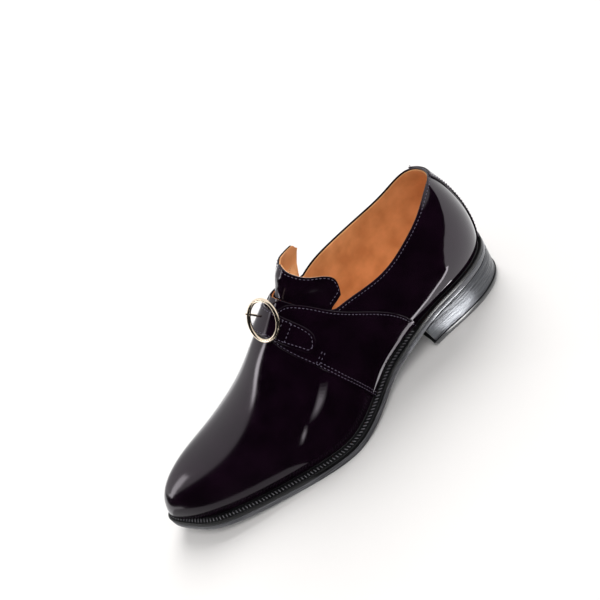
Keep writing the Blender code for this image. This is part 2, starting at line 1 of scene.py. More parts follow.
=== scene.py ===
"""Monk-strap dress shoe for the left foot: its leathers, threads, lining and buckle, and the studio.

The last and the tables that name the pieces' edges are those of the part. Lengths are millimetres
until a mesh is made.
"""

import math
from collections import namedtuple

import bmesh
import bpy
import numpy as np
from mathutils import Matrix, Vector

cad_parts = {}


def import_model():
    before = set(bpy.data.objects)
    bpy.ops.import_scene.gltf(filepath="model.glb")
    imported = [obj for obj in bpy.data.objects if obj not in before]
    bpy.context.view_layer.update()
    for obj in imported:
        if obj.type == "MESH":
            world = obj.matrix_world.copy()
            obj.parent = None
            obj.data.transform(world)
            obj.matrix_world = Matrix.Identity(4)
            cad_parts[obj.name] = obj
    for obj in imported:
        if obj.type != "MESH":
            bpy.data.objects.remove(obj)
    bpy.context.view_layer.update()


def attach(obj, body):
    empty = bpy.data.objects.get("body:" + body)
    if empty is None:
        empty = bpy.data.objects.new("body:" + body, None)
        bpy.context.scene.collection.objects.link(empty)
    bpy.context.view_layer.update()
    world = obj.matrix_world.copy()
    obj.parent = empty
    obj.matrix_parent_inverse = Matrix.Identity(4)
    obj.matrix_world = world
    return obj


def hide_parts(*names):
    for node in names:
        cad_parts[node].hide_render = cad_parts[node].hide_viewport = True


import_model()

MM = 0.001
GAP = 0.3  # clearance between two pieces that touch
SEAM = 0.03  # clearance between two layers that look closed
WELD = 0.001 * MM  # points nearer than this are one
TINY = 1e-9  # a girth just off the ridge, which still has a side

# The last
LAST_LENGTH = 292.0
TOE_TIP_X = -3.0
FAN = 38.0  # the ribs of the heel lean toward a point of the ridge this far forward of the back

# Bottom
OUTSOLE_THICK = 4.5
WELT_THICK = 2.8
BOTTOM_THICK = OUTSOLE_THICK + WELT_THICK
SEAT_OVERHANG, FORE_OVERHANG, TOE_OVERHANG = 3.0, 7.0, 2.6  # the outsole's edge past the feather line
WAIST_FROM, WAIST_TO, TOE_FROM = 60.0, 100.0, 262.0  # stations between which the overhang changes
BREAST_TOP, BREAST_BOTTOM = 76.5, 74.0  # stations of the heel's front face
BREAST_HOLLOW = 2.2  # of that face, at its middle
HEEL_TAPER = 1.0
HEEL_HEIGHT = 24.0  # of stack and top piece together, at the back
TOP_PIECE_THICK = 4.5
INSOLE_RISE = 1.2  # above the feather line
INSOLE_INSET = 2.9

# Upper and what is sewn on it
WALL = 2.0
FLAP_THICK = 1.2
STRAP_THICK = 1.6
STRIP_THICK = 1.0
TONGUE_THICK = 2.2
THROAT_SIDE, THROAT_TIP = 112.0, 137.5  # stations where the throat's round end begins and closes
THROAT_GIRTH = 0.6
THROAT_INNER = 0.91  # the share of this girth that it takes up on the inner side
THROAT_BOW, THROAT_ROUND = 1.5, 0.6  # powers that shape its end

# Buckle
RING_RADIUS = 13.5  # of the wire's centre line
RING_WIRE = 1.4
BAR_WIRE = 0.6
BAR_STATIONS = (161.5, 142.0)  # where the bar leaves the front and the rear edge of the strap
BAR_GIRTH = 0.05
BAR_HEIGHT = 0.95  # above the upper
PRONG_WIRE = 0.8
PRONG_REACH = 0.4  # how far its tip passes the middle of the ring's wire
PRONG_BEND = (151.5, -0.07)  # station and girth where it turns up through the strap

Place = namedtuple("Place", "x station z")
RING_CENTRE = Place(7.8, 155.5, 94.2)
RING_TILT = Place(0.382, 0.681, 0.611)  # the way out of its plane

Outline = namedtuple("Outline", "station inner outer")
FEATHER_OUTLINE = (
    Outline(8, -20, 20),
    Outline(25, -27, 29),
    Outline(50, -30, 31.3),
    Outline(80, -28, 30.5),
    Outline(110, -24, 31),
    Outline(140, -25, 44),
    Outline(165, -32.5, 52),
    Outline(190, -40, 48.5),
    Outline(210, -42, 42.8),
    Outline(230, -39, 37),
    Outline(250, -34, 30.5),
    Outline(268, -25.3, 22.6),
    Outline(283, -14.6, 11.7),
)

Height = namedtuple("Height", "station z")
FEATHER_HEIGHT = (
    Height(0, 31.8),
    Height(30, 30),
    Height(60, 28),
    Height(90, 22.3),
    Height(120, 14.3),
    Height(150, 8.6),
    Height(165, 7.3),
    Height(195, 7.1),
    Height(210, 7.7),
    Height(240, 10.1),
    Height(270, 14),
    Height(292, 18),
)
RIDGE_HEIGHT = (
    Height(290.5, 25),
    Height(284, 34),
    Height(270, 40.2),
    Height(250, 42.7),
    Height(220, 48.5),
    Height(190, 63.8),
    Height(165, 83),
    Height(140, 100),
    Height(115, 119),
    Height(90, 124.5),
    Height(60, 126),
    Height(36, 125),
    Height(20, 128),
)

Sway = namedtuple("Sway", "station x")
RIDGE_SWAY = (
    Sway(38, 0),
    Sway(90, 1),
    Sway(140, 0),
    Sway(170, -3),
    Sway(200, -7),
    Sway(230, -9),
    Sway(260, -8.5),
)

# The two inner control points of each rib, as shares of its width (flare, spread) and height (lift)
Rib = namedtuple("Rib", "station flare_out flare_in lift_out lift_in spread_out spread_in")
RIB_SHAPE = (
    Rib(0, 0.30, 0.30, 0.32, 0.32, 0.70, 0.70),
    Rib(60, 0.26, 0.22, 0.42, 0.45, 0.66, 0.66),
    Rib(110, 0.21, 0.09, 0.53, 0.59, 0.50, 0.50),
    Rib(150, 0.17, 0.10, 0.54, 0.62, 0.36, 0.40),
    Rib(180, 0.13, 0.12, 0.56, 0.66, 0.38, 0.42),
    Rib(210, 0.10, 0.10, 0.60, 0.72, 0.48, 0.46),
    Rib(250, 0.12, 0.12, 0.70, 0.75, 0.55, 0.50),
    Rib(292, 0.15, 0.15, 0.75, 0.75, 0.55, 0.55),
)

# Girths of the top line, behind the throat
Collar = namedtuple("Collar", "station outer inner")
COLLAR = (
    Collar(0, 0.445, 0.445),
    Collar(15, 0.450, 0.480),
    Collar(35, 0.520, 0.537),
    Collar(55, 0.597, 0.566),
    Collar(75, 0.645, 0.564),
    Collar(95, 0.640, 0.550),
    Collar(108.5, 0.611, 0.546),
    Collar(112, THROAT_GIRTH, THROAT_GIRTH * THROAT_INNER),
)

# Rear and front edges of the strap-bearing flap, from the feather line up to its end at the buckle
Flap = namedtuple("Flap", "girth rear front")
FLAP = (
    Flap(0.995, 78, 133.6),
    Flap(0.88, 84.6, 137.8),
    Flap(0.80, 92.5, 140.9),
    Flap(0.69, 106.3, 145),
    Flap(0.58, 116.8, 148.8),
    Flap(0.43, 125.5, 154.2),
    Flap(0.30, 132.0, 157),
    Flap(0.22, 136.8, 156.5),
    Flap(0.17, 141.5, 153.5),
)

# Rear and front edges of the strap on one side of the ridge
Strap = namedtuple("Strap", "girth rear front")
STRAP = (
    Strap(0.00, 143.4, 160.6),
    Strap(0.13, 142.8, 158.6),
    Strap(0.28, 140.6, 155.0),
    Strap(0.40, 137.4, 151.0),
    Strap(0.47, 136.2, 148.0),
    Strap(0.51, 138.2, 145.2),
    Strap(0.525, 141.0, 142.6),
)

# Half width of the strip that covers the back seam, in turns
Strip = namedtuple("Strip", "girth turn")
BACK_STRIP = (
    Strip(0.455, 0.080),
    Strip(0.55, 0.058),
    Strip(0.70, 0.048),
    Strip(0.85, 0.053),
    Strip(0.99, 0.075),
)

# Station of the tongue's top edge, and of its hidden root, across its half width
Tongue = namedtuple("Tongue", "across top root")
TONGUE = (
    Tongue(0.00, 119.0, 152),
    Tongue(0.25, 120.5, 151),
    Tongue(0.46, 118.2, 147),
    Tongue(0.68, 111.0, 140),
    Tongue(0.865, 102.6, 133),
    Tongue(1.00, 106.5, 129),
)
TONGUE_GIRTH = 0.575
TONGUE_NARROW = 0.13  # the share of it that is taken off at the inner edge
TONGUE_CLEAR = WALL + 2 * GAP  # how far the tongue lies under the face of the last
TONGUE_OUT = 0.52  # the share of its height at which it has left the throat
TONGUE_UP = 0.85  # and at which its face has risen to the face of the last
WING_FREE = 0.61  # from this share of its height the inner wing stands free
WING_CORNER = (-18.3, -22.3, -4.6)  # free corner of the tongue's inner wing, from the ridge
WING_BEND = 2.5  # power by which it bends that way
WING_CUT = 0.16  # share of the height that is cut off at that corner
CUT_FROM, CUT_TO = 0.84, 1.02  # shares of the wing's width between which this cut deepens


def column(table, name):
    return np.array([getattr(row, name) for row in table], float)


def spline(table, x_name, y_name):
    """Natural cubic spline through two columns of a table, straight beyond both ends."""
    x, y = column(table, x_name), column(table, y_name)
    if x[0] > x[-1]:
        x, y = x[::-1], y[::-1]
    return cubic(x, y)


def cubic(x, y):
    step = np.diff(x)
    rise = np.diff(y) / step
    count = len(x)
    system, right = np.eye(count), np.zeros(count)
    for i in range(1, count - 1):
        system[i, i - 1 : i + 2] = step[i - 1], 2 * (step[i - 1] + step[i]), step[i]
        right[i] = 6 * (rise[i] - rise[i - 1])
    bend = np.linalg.solve(system, right)
    first = rise[0] - step[0] * (2 * bend[0] + bend[1]) / 6
    last = rise[-1] + step[-1] * (bend[-2] + 2 * bend[-1]) / 6

    def value(at):
        at = np.asarray(at, float)
        i = np.clip(np.searchsorted(x, at) - 1, 0, count - 2)
        inside = np.clip(at, x[0], x[-1])
        a, b = (x[i + 1] - inside) / step[i], (inside - x[i]) / step[i]
        bow = ((a**3 - a) * bend[i] + (b**3 - b) * bend[i + 1]) * step[i] ** 2 / 6
        ends = np.minimum(at - x[0], 0) * first + np.maximum(at - x[-1], 0) * last
        return a * y[i] + b * y[i + 1] + bow + ends

    return value


def run_along(path):
    """How far along a path each of its points lies."""
    return np.concatenate([[0], np.cumsum(np.linalg.norm(np.diff(path, axis=0), axis=1))])


def evenly(path, samples):
    """Points at even spaces along a path, its own last point left out."""
    run = run_along(path)
    at = np.linspace(0, run[-1], samples, endpoint=False)
    return np.stack([np.interp(at, run, axis) for axis in path.T], -1)


def through(points):
    """Runs of the given points along a smooth curve, and the curve as a function of the run."""
    points = np.asarray(points, float)
    run = run_along(points)
    axes = [cubic(run, points[:, k]) for k in range(points.shape[1])]
    return run, lambda at: np.stack([axis(at) for axis in axes], -1)


def smooth_step(low, high, at):
    t = np.clip((np.asarray(at, float) - low) / (high - low), 0, 1)
    return t * t * (3 - 2 * t)


def station_to_turn(station):
    return np.arccos(1 - 2 * np.clip(np.asarray(station, float), 0, LAST_LENGTH) / LAST_LENGTH) / np.pi


def turn_to_station(turn):
    return LAST_LENGTH * (1 - np.cos(np.pi * np.asarray(turn, float))) / 2


class Last:
    """The surface that the upper is pulled over. Its points are (x, station, z)."""

    SAMPLES = 8001

    def __init__(self):
        back, tip = (0.0, 0.0), (TOE_TIP_X, LAST_LENGTH)
        outer = [(row.outer, row.station) for row in FEATHER_OUTLINE]
        inner = [(row.inner, row.station) for row in FEATHER_OUTLINE]
        loop = [back, *outer, tip, *inner[::-1]]
        ahead, behind = loop[:4], loop[-3:]
        run, curve = through(behind + loop + ahead)
        start, end = run[len(behind)], run[len(behind) + len(loop)]
        loop = curve(np.linspace(start, end, self.SAMPLES))[:-1]
        loop = np.roll(loop, -loop[:, 1].argmin(), axis=0)
        loop[:, 1] -= loop[0, 1]
        loop[:, 1] *= LAST_LENGTH / loop[:, 1].max()
        self.loop = np.vstack([loop, loop[:1]])
        toe = self.loop[:, 1].argmax()
        self.half = {1: self.loop[: toe + 1], -1: self.loop[toe:][::-1]}
        self.feather_z = spline(FEATHER_HEIGHT, "station", "z")
        ridge = np.array([(LAST_LENGTH, self.feather_height(LAST_LENGTH)), *RIDGE_HEIGHT])
        mirrored = ridge[1:3] * (1, -1) + (0, 2 * ridge[0, 1])
        run, curve = through(np.vstack([mirrored[::-1], ridge]))
        self.ridge = curve(np.linspace(run[2], run[-1], self.SAMPLES))[::-1]
        sway = np.append(column(RIDGE_SWAY, "x"), self.loop[toe, 0])
        self.sway = cubic(np.append(column(RIDGE_SWAY, "station"), LAST_LENGTH), sway)
        self.shape = {name: spline(RIB_SHAPE, "station", name) for name in Rib._fields[1:]}

    def feather_height(self, station):
        """The feather line's height. The bottom is cut flat where the forepart stands."""
        return np.maximum(self.feather_z(station), BOTTOM_THICK)

    def feather(self, station, side):
        half = self.half[side]
        x = np.interp(station, np.maximum.accumulate(half[:, 1]), half[:, 0])
        return np.stack([x, station, self.feather_height(station)], -1)

    def ridge_height(self, station):
        return np.interp(station, np.maximum.accumulate(self.ridge[:, 0]), self.ridge[:, 1])

    def ridge_point(self, station):
        """Where the rib that leaves the feather line at this station meets the ridge."""
        far = math.hypot(LAST_LENGTH, FAN) - LAST_LENGTH
        along = np.hypot(station, FAN) - far * station / LAST_LENGTH
        slope = self.ridge_height(along - 0.5) - self.ridge_height(along + 0.5)
        return np.stack([self.sway(along), along, self.ridge_height(along)], -1), slope

    def rib(self, station, side):
        """The four control points of a rib, from the feather line to the ridge."""
        end = "out" if side > 0 else "in"
        flare, lift, spread = (
            self.shape[f"{name}_{end}"](station)[..., None] for name in ("flare", "lift", "spread")
        )
        foot = self.feather(station, side)
        top, slope = self.ridge_point(station)
        away = (foot - top) * (1, 1, 0)
        width = np.maximum(np.linalg.norm(away, axis=-1, keepdims=True), 1e-6)
        away = away / width
        rise = (top - foot)[..., 2:] * (0, 0, 1)
        lean = away.copy()
        lean[..., 2] = np.clip(slope, -1.5, 1.5) * -away[..., 1]
        return foot, foot + away * flare * width + rise * lift, top + lean * spread * width, top

    def point(self, station, girth):
        station, girth = np.broadcast_arrays(np.asarray(station, float), np.asarray(girth, float))
        found = np.zeros(station.shape + (3,))
        for side in (1, -1):
            here = girth >= 0 if side > 0 else girth < 0
            if here.any():
                a, b, c, d = self.rib(station[here], side)
                v = 1 - np.abs(girth[here])[..., None]
                found[here] = (1 - v) ** 3 * a + 3 * v * (1 - v) ** 2 * b + 3 * v * v * (1 - v) * c + v**3 * d
        return found + (0, 0, GAP)

    def normal(self, turn, girth):
        """Outward unit normal, by differences. The girth is kept off the ridge and the feather line."""
        turn, girth = np.broadcast_arrays(np.asarray(turn, float), np.asarray(girth, float))
        small = 1e-3
        side = np.where(girth >= 0, 1, -1)
        inner = np.clip(np.abs(girth), small, 1 - small) * side
        along = self.at_turn(turn + small, inner) - self.at_turn(turn - small, inner)
        around = self.at_turn(turn, inner + small * side) - self.at_turn(turn, inner - small * side)
        n = np.cross(around, along) * np.where(side > 0, 1, -1)[..., None]
        return n / np.linalg.norm(n, axis=-1, keepdims=True)

    def at_turn(self, turn, girth):
        """Point by turn. A negative turn is the same rib on the other side of the back seam."""
        turn, girth = np.broadcast_arrays(np.asarray(turn, float), np.asarray(girth, float))
        return self.point(turn_to_station(np.abs(turn)), girth * np.where(turn < 0, -1, 1))

    def offset(self, station, girth, height):
        """A point this far out from the surface."""
        out = self.normal(station_to_turn(station), girth)
        return self.point(station, girth) + out * np.asarray(height)[..., None]


LAST = Last()


def overhang(station):
    """How far the sole's edge stands out from the feather line."""
    wider = (FORE_OVERHANG - SEAT_OVERHANG) * smooth_step(WAIST_FROM, WAIST_TO, station)
    narrower = (FORE_OVERHANG - TOE_OVERHANG) * smooth_step(TOE_FROM, LAST_LENGTH, station)
    return SEAT_OVERHANG + wider - narrower


def outline(extra, samples):
    """The feather outline moved outward by extra(station), as (x, station) points, evenly round."""
    loop = LAST.loop[:-1]
    along = unit(np.roll(loop, -1, axis=0) - np.roll(loop, 1, axis=0))
    moved = loop + np.stack([along[:, 1], -along[:, 0]], -1) * np.asarray(extra(loop[:, 1]))[..., None]
    return evenly(moved, samples)


def unit(vectors):
    return vectors / np.maximum(np.linalg.norm(vectors, axis=-1, keepdims=True), 1e-12)


EDGE_SAMPLES = 4000
SOLE_EDGE = outline(overhang, EDGE_SAMPLES)
SHIFT_X = -(SOLE_EDGE[:, 0].min() + SOLE_EDGE[:, 0].max()) / 2
SHIFT_Y = (SOLE_EDGE[:, 1].min() + SOLE_EDGE[:, 1].max()) / 2


def world(points):
    """From (x, station, z) in millimetres to the part's frame."""
    points = np.asarray(points, float)
    return np.stack([points[..., 0] + SHIFT_X, SHIFT_Y - points[..., 1], points[..., 2]], -1) * MM


# ---------------------------------------------------------------- meshes


class Net:
    """Points, in the last's frame, and faces gathered for one mesh."""

    def __init__(self):
        self.points, self.faces, self.count = [], [], 0

    def grid(self, points, closed=False):
        rows, columns = points.shape[:2]
        index = self.count + np.arange(rows * columns).reshape(rows, columns)
        self.points.append(points.reshape(-1, 3))
        self.count += rows * columns
        right = np.roll(index, -1, axis=1) if closed else index[:, 1:]
        left = index if closed else index[:, :-1]
        self.faces.extend(np.stack([left[:-1], right[:-1], right[1:], left[1:]], -1).reshape(-1, 4).tolist())

    def cap(self, ring, height, columns=24):
        """Fills a ring of (x, station) points that starts at the back. height gives z by station."""
        half = len(ring) // 2
        outer, inner = ring[: half + 1], np.roll(ring, -1, axis=0)[::-1][: half + 1]
        share = np.linspace(0, 1, columns)[:, None, None]
        flat = outer + (inner - outer) * share
        self.grid(np.concatenate([flat, height(flat[..., 1])[..., None]], -1))


def add(name, data):
    obj = bpy.data.objects.new(name, data)
    bpy.context.scene.collection.objects.link(obj)
    return obj


def build(name, net, material, smooth_angle=50):
    """One mesh object, its points welded and its faces turned outward."""
    data = bpy.data.meshes.new(name)
    data.from_pydata(world(np.vstack(net.points)).tolist(), [], net.faces)
    data.materials.append(material)
    form = bmesh.new()
    form.from_mesh(data)
    bmesh.ops.remove_doubles(form, verts=form.verts, dist=WELD)
    bmesh.ops.dissolve_degenerate(form, edges=form.edges, dist=WELD)
    bmesh.ops.recalc_face_normals(form, faces=form.faces)
    if form.calc_volume(signed=True) < 0:
        bmesh.ops.reverse_faces(form, faces=form.faces)
    form.to_mesh(data)
    form.free()
    data.shade_smooth()
    data.set_sharp_from_angle(angle=math.radians(smooth_angle))
    return add(name, data)


def place(obj, slot, *nodes):
    """The piece rides on the shoe and stands for some of the part's nodes. The slot is not used."""
    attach(obj, "root")
    if nodes:
        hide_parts(*nodes)
    return obj


# ---------------------------------------------------------------- upper and lining

SKIN = 1.2  # outer leather; the lining makes up the rest of the wall
TOP_DROP = 0.9  # the lining ends this far below the top line
BEHIND_COLUMNS, THROAT_COLUMNS, VAMP_COLUMNS = 80, 46, 110  # of the net of upper and lining
RIM_GIRTH = 0.008  # the girth that the rounded rim takes up
RIM_CROWD = 1.35  # rows lie closer together toward the rim


def fine_stations():
    """Columns of the upper's net: behind the throat, round its end, and along the vamp."""
    split, tip = station_to_turn((THROAT_SIDE, THROAT_TIP))
    behind = turn_to_station(np.linspace(0, split, BEHIND_COLUMNS))
    throat = throat_station(THROAT_GIRTH * np.linspace(1, 0, THROAT_COLUMNS)[1:])
    vamp = turn_to_station(np.linspace(tip, 1, VAMP_COLUMNS)[1:])
    return np.concatenate([behind, throat, vamp]), len(behind) + len(throat)


def top_line(station, side):
    """Girth of the open edge, by station."""
    collar = spline(COLLAR, "station", "outer" if side > 0 else "inner")(np.minimum(station, THROAT_SIDE))
    share = np.clip((station - THROAT_SIDE) / (THROAT_TIP - THROAT_SIDE), 0, 1)
    throat = THROAT_GIRTH * (1 if side > 0 else THROAT_INNER) * (1 - share**THROAT_BOW) ** THROAT_ROUND
    return np.where(station < THROAT_SIDE, collar, throat)


def open_edge(height):
    """The open edge at a height off the last, as one closed loop.

    Gives its points, their outward normals, and the directions that lead off the edge.
    """
    station, count = fine_stations()
    station = station[:count]
    sides = []
    for side in (1, -1):
        girth = np.maximum(top_line(station, side), TINY) * side
        normal = wall_normal(station_to_turn(station), girth)
        sides.append((LAST.point(station, girth) + height * normal, normal))
    edge, normal = (np.vstack([outer, inner[-2:0:-1]]) for outer, inner in zip(*sides))
    along = unit(np.roll(edge, -1, axis=0) - np.roll(edge, 1, axis=0))
    free = unit(np.cross(normal, along))
    return edge, normal, free * np.sign(free[0, 2])


def wall(name, top, bottom, drop, rows, material):
    """A wall over the last between two heights, its open edge rounded and its foot on the welt."""
    station, count = fine_stations()
    edge, normal, free = open_edge(top)
    radius = (top - bottom) / 2
    seat = edge - free * (drop + radius)
    foot = seat - 2 * radius * normal
    net = Net()
    share = 1 - np.linspace(1, 0, rows)[:, None] ** RIM_CROWD
    rims = {1: np.arange(count), -1: np.concatenate([[0], np.arange(len(edge) - 1, count - 2, -1)])}
    for side, rim in rims.items():
        girth = 1 - (1 - top_line(station, side) - RIM_GIRTH) * share
        girth = np.where(station >= THROAT_TIP - 1e-6, 1 - share, girth)
        girth = np.maximum(girth, TINY) * side
        out = wall_normal(station_to_turn(station) + 0 * girth, girth)
        base = LAST.point(station + 0 * girth, girth)
        faces = [base + top * out, base + bottom * out]
        faces[1][0, :, 2] = faces[0][0, :, 2]
        for face, end in zip(faces, (seat, foot)):
            face[-1, :count] = end[rim]
            net.grid(face)
        net.grid(np.stack([faces[0][0], faces[1][0]]))
    turns = np.linspace(0, np.pi, 9)[:, None, None]
    centre = seat - radius * normal
    net.grid(centre + radius * (np.cos(turns) * normal + np.sin(turns) * free), closed=True)
    return build(name, net, material)


def wall_normal(turn, girth):
    """The normal of the last, made one at the ridge and at the toe tip, where two sides meet."""
    turn, girth = np.broadcast_arrays(np.asarray(turn, float), np.asarray(girth, float))
    normal = LAST.normal(turn, girth)
    other = LAST.normal(turn, -np.sign(girth) * TINY)
    ridge = (np.abs(girth) < 1e-6)[..., None]
    normal = np.where(ridge, unit(normal + other), normal)
    return np.where(turn[..., None] > 0.999, (0.0, 1.0, 0.0), normal)


def throat_station(girth):
    """Where the round end of the throat crosses this girth."""
    share = (1 - (np.abs(girth) / THROAT_GIRTH) ** (1 / THROAT_ROUND)) ** (1 / THROAT_BOW)
    return THROAT_SIDE + (THROAT_TIP - THROAT_SIDE) * share


# ---------------------------------------------------------------- panels laid on the last

RIM_STEPS = np.array([0, 0.06, 0.2, 0.42, 0.7, 1.0])  # of a panel's rounded rim, as shares of its width


def panel(name, locate, spans, counts, thick, edge, material):
    """A plate whose long and cross ways run from 0 to 1, its rims rounded.

    locate(u, v, height) gives its points. spans are its sizes both ways, used to space the rims.
    """
    ways = []
    for span, count in zip(spans, counts):
        rim = RIM_STEPS * edge / span
        inner = np.linspace(rim[-1], 1 - rim[-1], count)
        ways.append(np.concatenate([rim[:-1], inner, (1 - rim[:-1])[::-1]]))
    u, v = np.meshgrid(*ways, indexing="ij")
    inset = [np.clip(1 - np.minimum(w, 1 - w) * span / edge, 0, 1) for w, span in zip((u, v), spans)]
    reach = np.clip(np.hypot(*inset), 0, 1)
    rise = edge * (1 - np.sqrt(1 - reach**2))
    high, low = locate(u, v, thick - rise), locate(u, v, 0 * u)
    net = Net()
    net.grid(high)
    net.grid(low)
    for rim in (np.s_[0, :], np.s_[-1, :], np.s_[:, 0], np.s_[:, -1]):
        net.grid(np.stack([high[rim], low[rim]]))
    return build(name, net, material)


def flap_place(side):
    def locate(u, v, height):
        girth = FLAP[0].girth + (FLAP[-1].girth - FLAP[0].girth) * u
        station = between(FLAP, "girth", "rear", "front", girth, v)
        return LAST.offset(station, girth * side, GAP + height)

    return locate


def strap_place(u, v, height):
    girth = STRAP[-1].girth * np.sin((2 * u - 1) * np.pi / 2)
    station = between(STRAP, "girth", "rear", "front", np.abs(girth), v)
    return LAST.offset(station, girth, 2 * GAP + FLAP_THICK + height)


def strip_place(u, v, height):
    girth = BACK_STRIP[0].girth + (BACK_STRIP[-1].girth - BACK_STRIP[0].girth) * u
    turn = spline(BACK_STRIP, "girth", "turn")(girth) * (2 * v - 1)
    girth = girth * np.where(turn < 0, -1, 1)
    out = LAST.normal(np.abs(turn), girth)
    return LAST.point(turn_to_station(turn), girth) + out * (GAP + height)[..., None]


def tongue_place(bottom):
    def locate(u, v, height):
        return tongue_points(2 * v - 1, u, -bottom - height)

    return locate


def tongue_points(across, height, depth):
    """Points of the tongue. It lies under the upper, then its face rises to the face of the last.

    Its outer wing follows the last. Its inner wing stands up off it, with the corner cut away.
    """
    height = height * (1 - WING_CUT * smooth_step(CUT_FROM, CUT_TO, -across))
    under = -TONGUE_CLEAR * (1 - smooth_step(TONGUE_OUT, TONGUE_UP, height)) - depth
    reach = np.abs(across)
    girth = TONGUE_GIRTH * across * np.where(across < 0, 1 - TONGUE_NARROW * reach**2, 1)
    on_last = LAST.offset(tongue_station(reach, height), girth, under)
    ridge = LAST.offset(tongue_station(0 * reach, height), 0 * across, under)
    x, station, z = WING_CORNER
    wing = np.stack([x * reach, station * reach**WING_BEND, z * reach**WING_BEND], -1)
    free = (smooth_step(TONGUE_OUT, WING_FREE, height) * smooth_step(0.0, 0.5, -across))[..., None]
    return on_last * (1 - free) + (ridge + wing) * free


def tongue_station(reach, height):
    return between(TONGUE, "across", "root", "top", reach, height)


def between(table, name, low_name, high_name, at, share):
    """A value between two columns of a table, at a row position and a share of the way across."""
    low, high = spline(table, name, low_name)(at), spline(table, name, high_name)(at)
    return low + (high - low) * share


# ---------------------------------------------------------------- bottom

SOLE_CREASE = 35  # degrees; a sharper edge than this stays sharp
LAYER_SEAM = 0.02  # welt and outsole each keep this far off the seam between them
HEEL_COLUMNS = 240
HEEL_RIM = ((0.5, 0.0), (0.12, 0.18), (0.0, 0.55))  # the rounding of a layer: inset and depth


def constant(value):
    """The same value at every station."""
    return lambda station: np.full_like(station, value)


def past(amount):
    """The sole's edge moved out by this much."""
    return lambda station: overhang(station) + amount


def below_feather(drop):
    """Heights this far under the feather line."""
    return lambda station: LAST.feather_height(station) - drop


def start_at_back(ring):
    return np.roll(ring, -ring[:, 1].argmin(), axis=0)


def risen(ring, height):
    """A ring of (x, station) points with their heights."""
    return np.concatenate([ring, height(ring[:, 1])[:, None]], -1)


def sweep(name, profile, material, samples=480, closed=True):
    """A layer of the bottom: a profile of (extra, drop) pairs run round the feather line.

    extra may be a function. An open profile runs from top to bottom, and both ends are filled.
    """
    rings = []
    for extra, drop in profile:
        edge = outline(extra if callable(extra) else constant(extra), samples)
        rings.append(risen(edge, below_feather(drop)))
    net = Net()
    if closed:
        rings.append(rings[0])
    else:
        for end in (0, -1):
            net.cap(start_at_back(rings[end][:, :2]), below_feather(profile[end][1]))
    net.grid(np.stack(rings), closed=True)
    return build(name, net, material, SOLE_CREASE)


def make_welt(material):
    low = WELT_THICK - LAYER_SEAM
    profile = (
        (-WALL, 0.1),
        (-0.4, 0.05),
        (0.1, 0.55),
        (0.5, 0.62),
        (past(-1.7), 0.35),
        (past(-1.1), 0.12),
        (past(-0.45), 0.1),
        (past(-0.12), 0.3),
        (past(0.0), 0.75),
        (past(0.0), low - 0.55),
        (past(-0.12), low - 0.15),
        (past(-0.5), low),
        (-WALL, low),
    )
    return sweep("welt", profile, material)


def make_outsole(material):
    top, bottom = WELT_THICK + LAYER_SEAM, BOTTOM_THICK
    profile = (
        (past(-1.2), top),
        (past(-0.5), top + 0.06),
        (past(-0.1), top + 0.35),
        (past(0.06), top + 0.9),
        (past(0.06), bottom - 1.0),
        (past(-0.1), bottom - 0.4),
        (past(-0.45), bottom - 0.1),
        (past(-1.1), bottom),
    )
    return sweep("outsole", profile, material, closed=False)


def make_insole(material):
    top, bottom = -INSOLE_RISE, WELT_THICK - GAP
    profile = (
        (-INSOLE_INSET - 0.8, top),
        (-INSOLE_INSET - 0.15, top + 0.2),
        (-INSOLE_INSET, top + 0.7),
        (-INSOLE_INSET, bottom),
    )
    return sweep("insole", profile, material, samples=240, closed=False)


def heel_outline(share, inset):
    """The heel's outline at a share of its height, its front face a little hollow."""
    breast = BREAST_TOP + (BREAST_BOTTOM - BREAST_TOP) * share - inset
    edge = start_at_back(outline(past(-HEEL_TAPER * share - inset), EDGE_SAMPLES))
    behind = edge[:, 1] < breast
    first, last = np.argmin(behind), len(edge) - np.argmin(behind[::-1])
    outer, inner = edge[:first], edge[last:]
    front = np.linspace(outer[-1], inner[0], 60) * (1, 0) + (0, breast)
    front[:, 1] -= np.sin(np.linspace(0, np.pi, len(front))) * BREAST_HOLLOW
    return evenly(np.vstack([outer, front[1:-1], inner, outer[:1]]), HEEL_COLUMNS)


def make_heel(name, low, high, material):
    """A layer of the heel, from a level up to a height that is given by station."""
    top = [(inset, HEEL_HEIGHT - drop, lambda s, d=drop: high(s) - d) for inset, drop in HEEL_RIM]
    bottom = [(inset, low + drop, constant(low + drop)) for inset, drop in HEEL_RIM[::-1]]
    rings = [risen(heel_outline(1 - z / HEEL_HEIGHT, inset), height) for inset, z, height in top + bottom]
    net = Net()
    net.grid(np.stack(rings), closed=True)
    net.cap(rings[0][:, :2], high)
    net.cap(rings[-1][:, :2], constant(low))
    return build(name, net, material, SOLE_CREASE)


# ---------------------------------------------------------------- buckle

WIRE_CREASE = 80


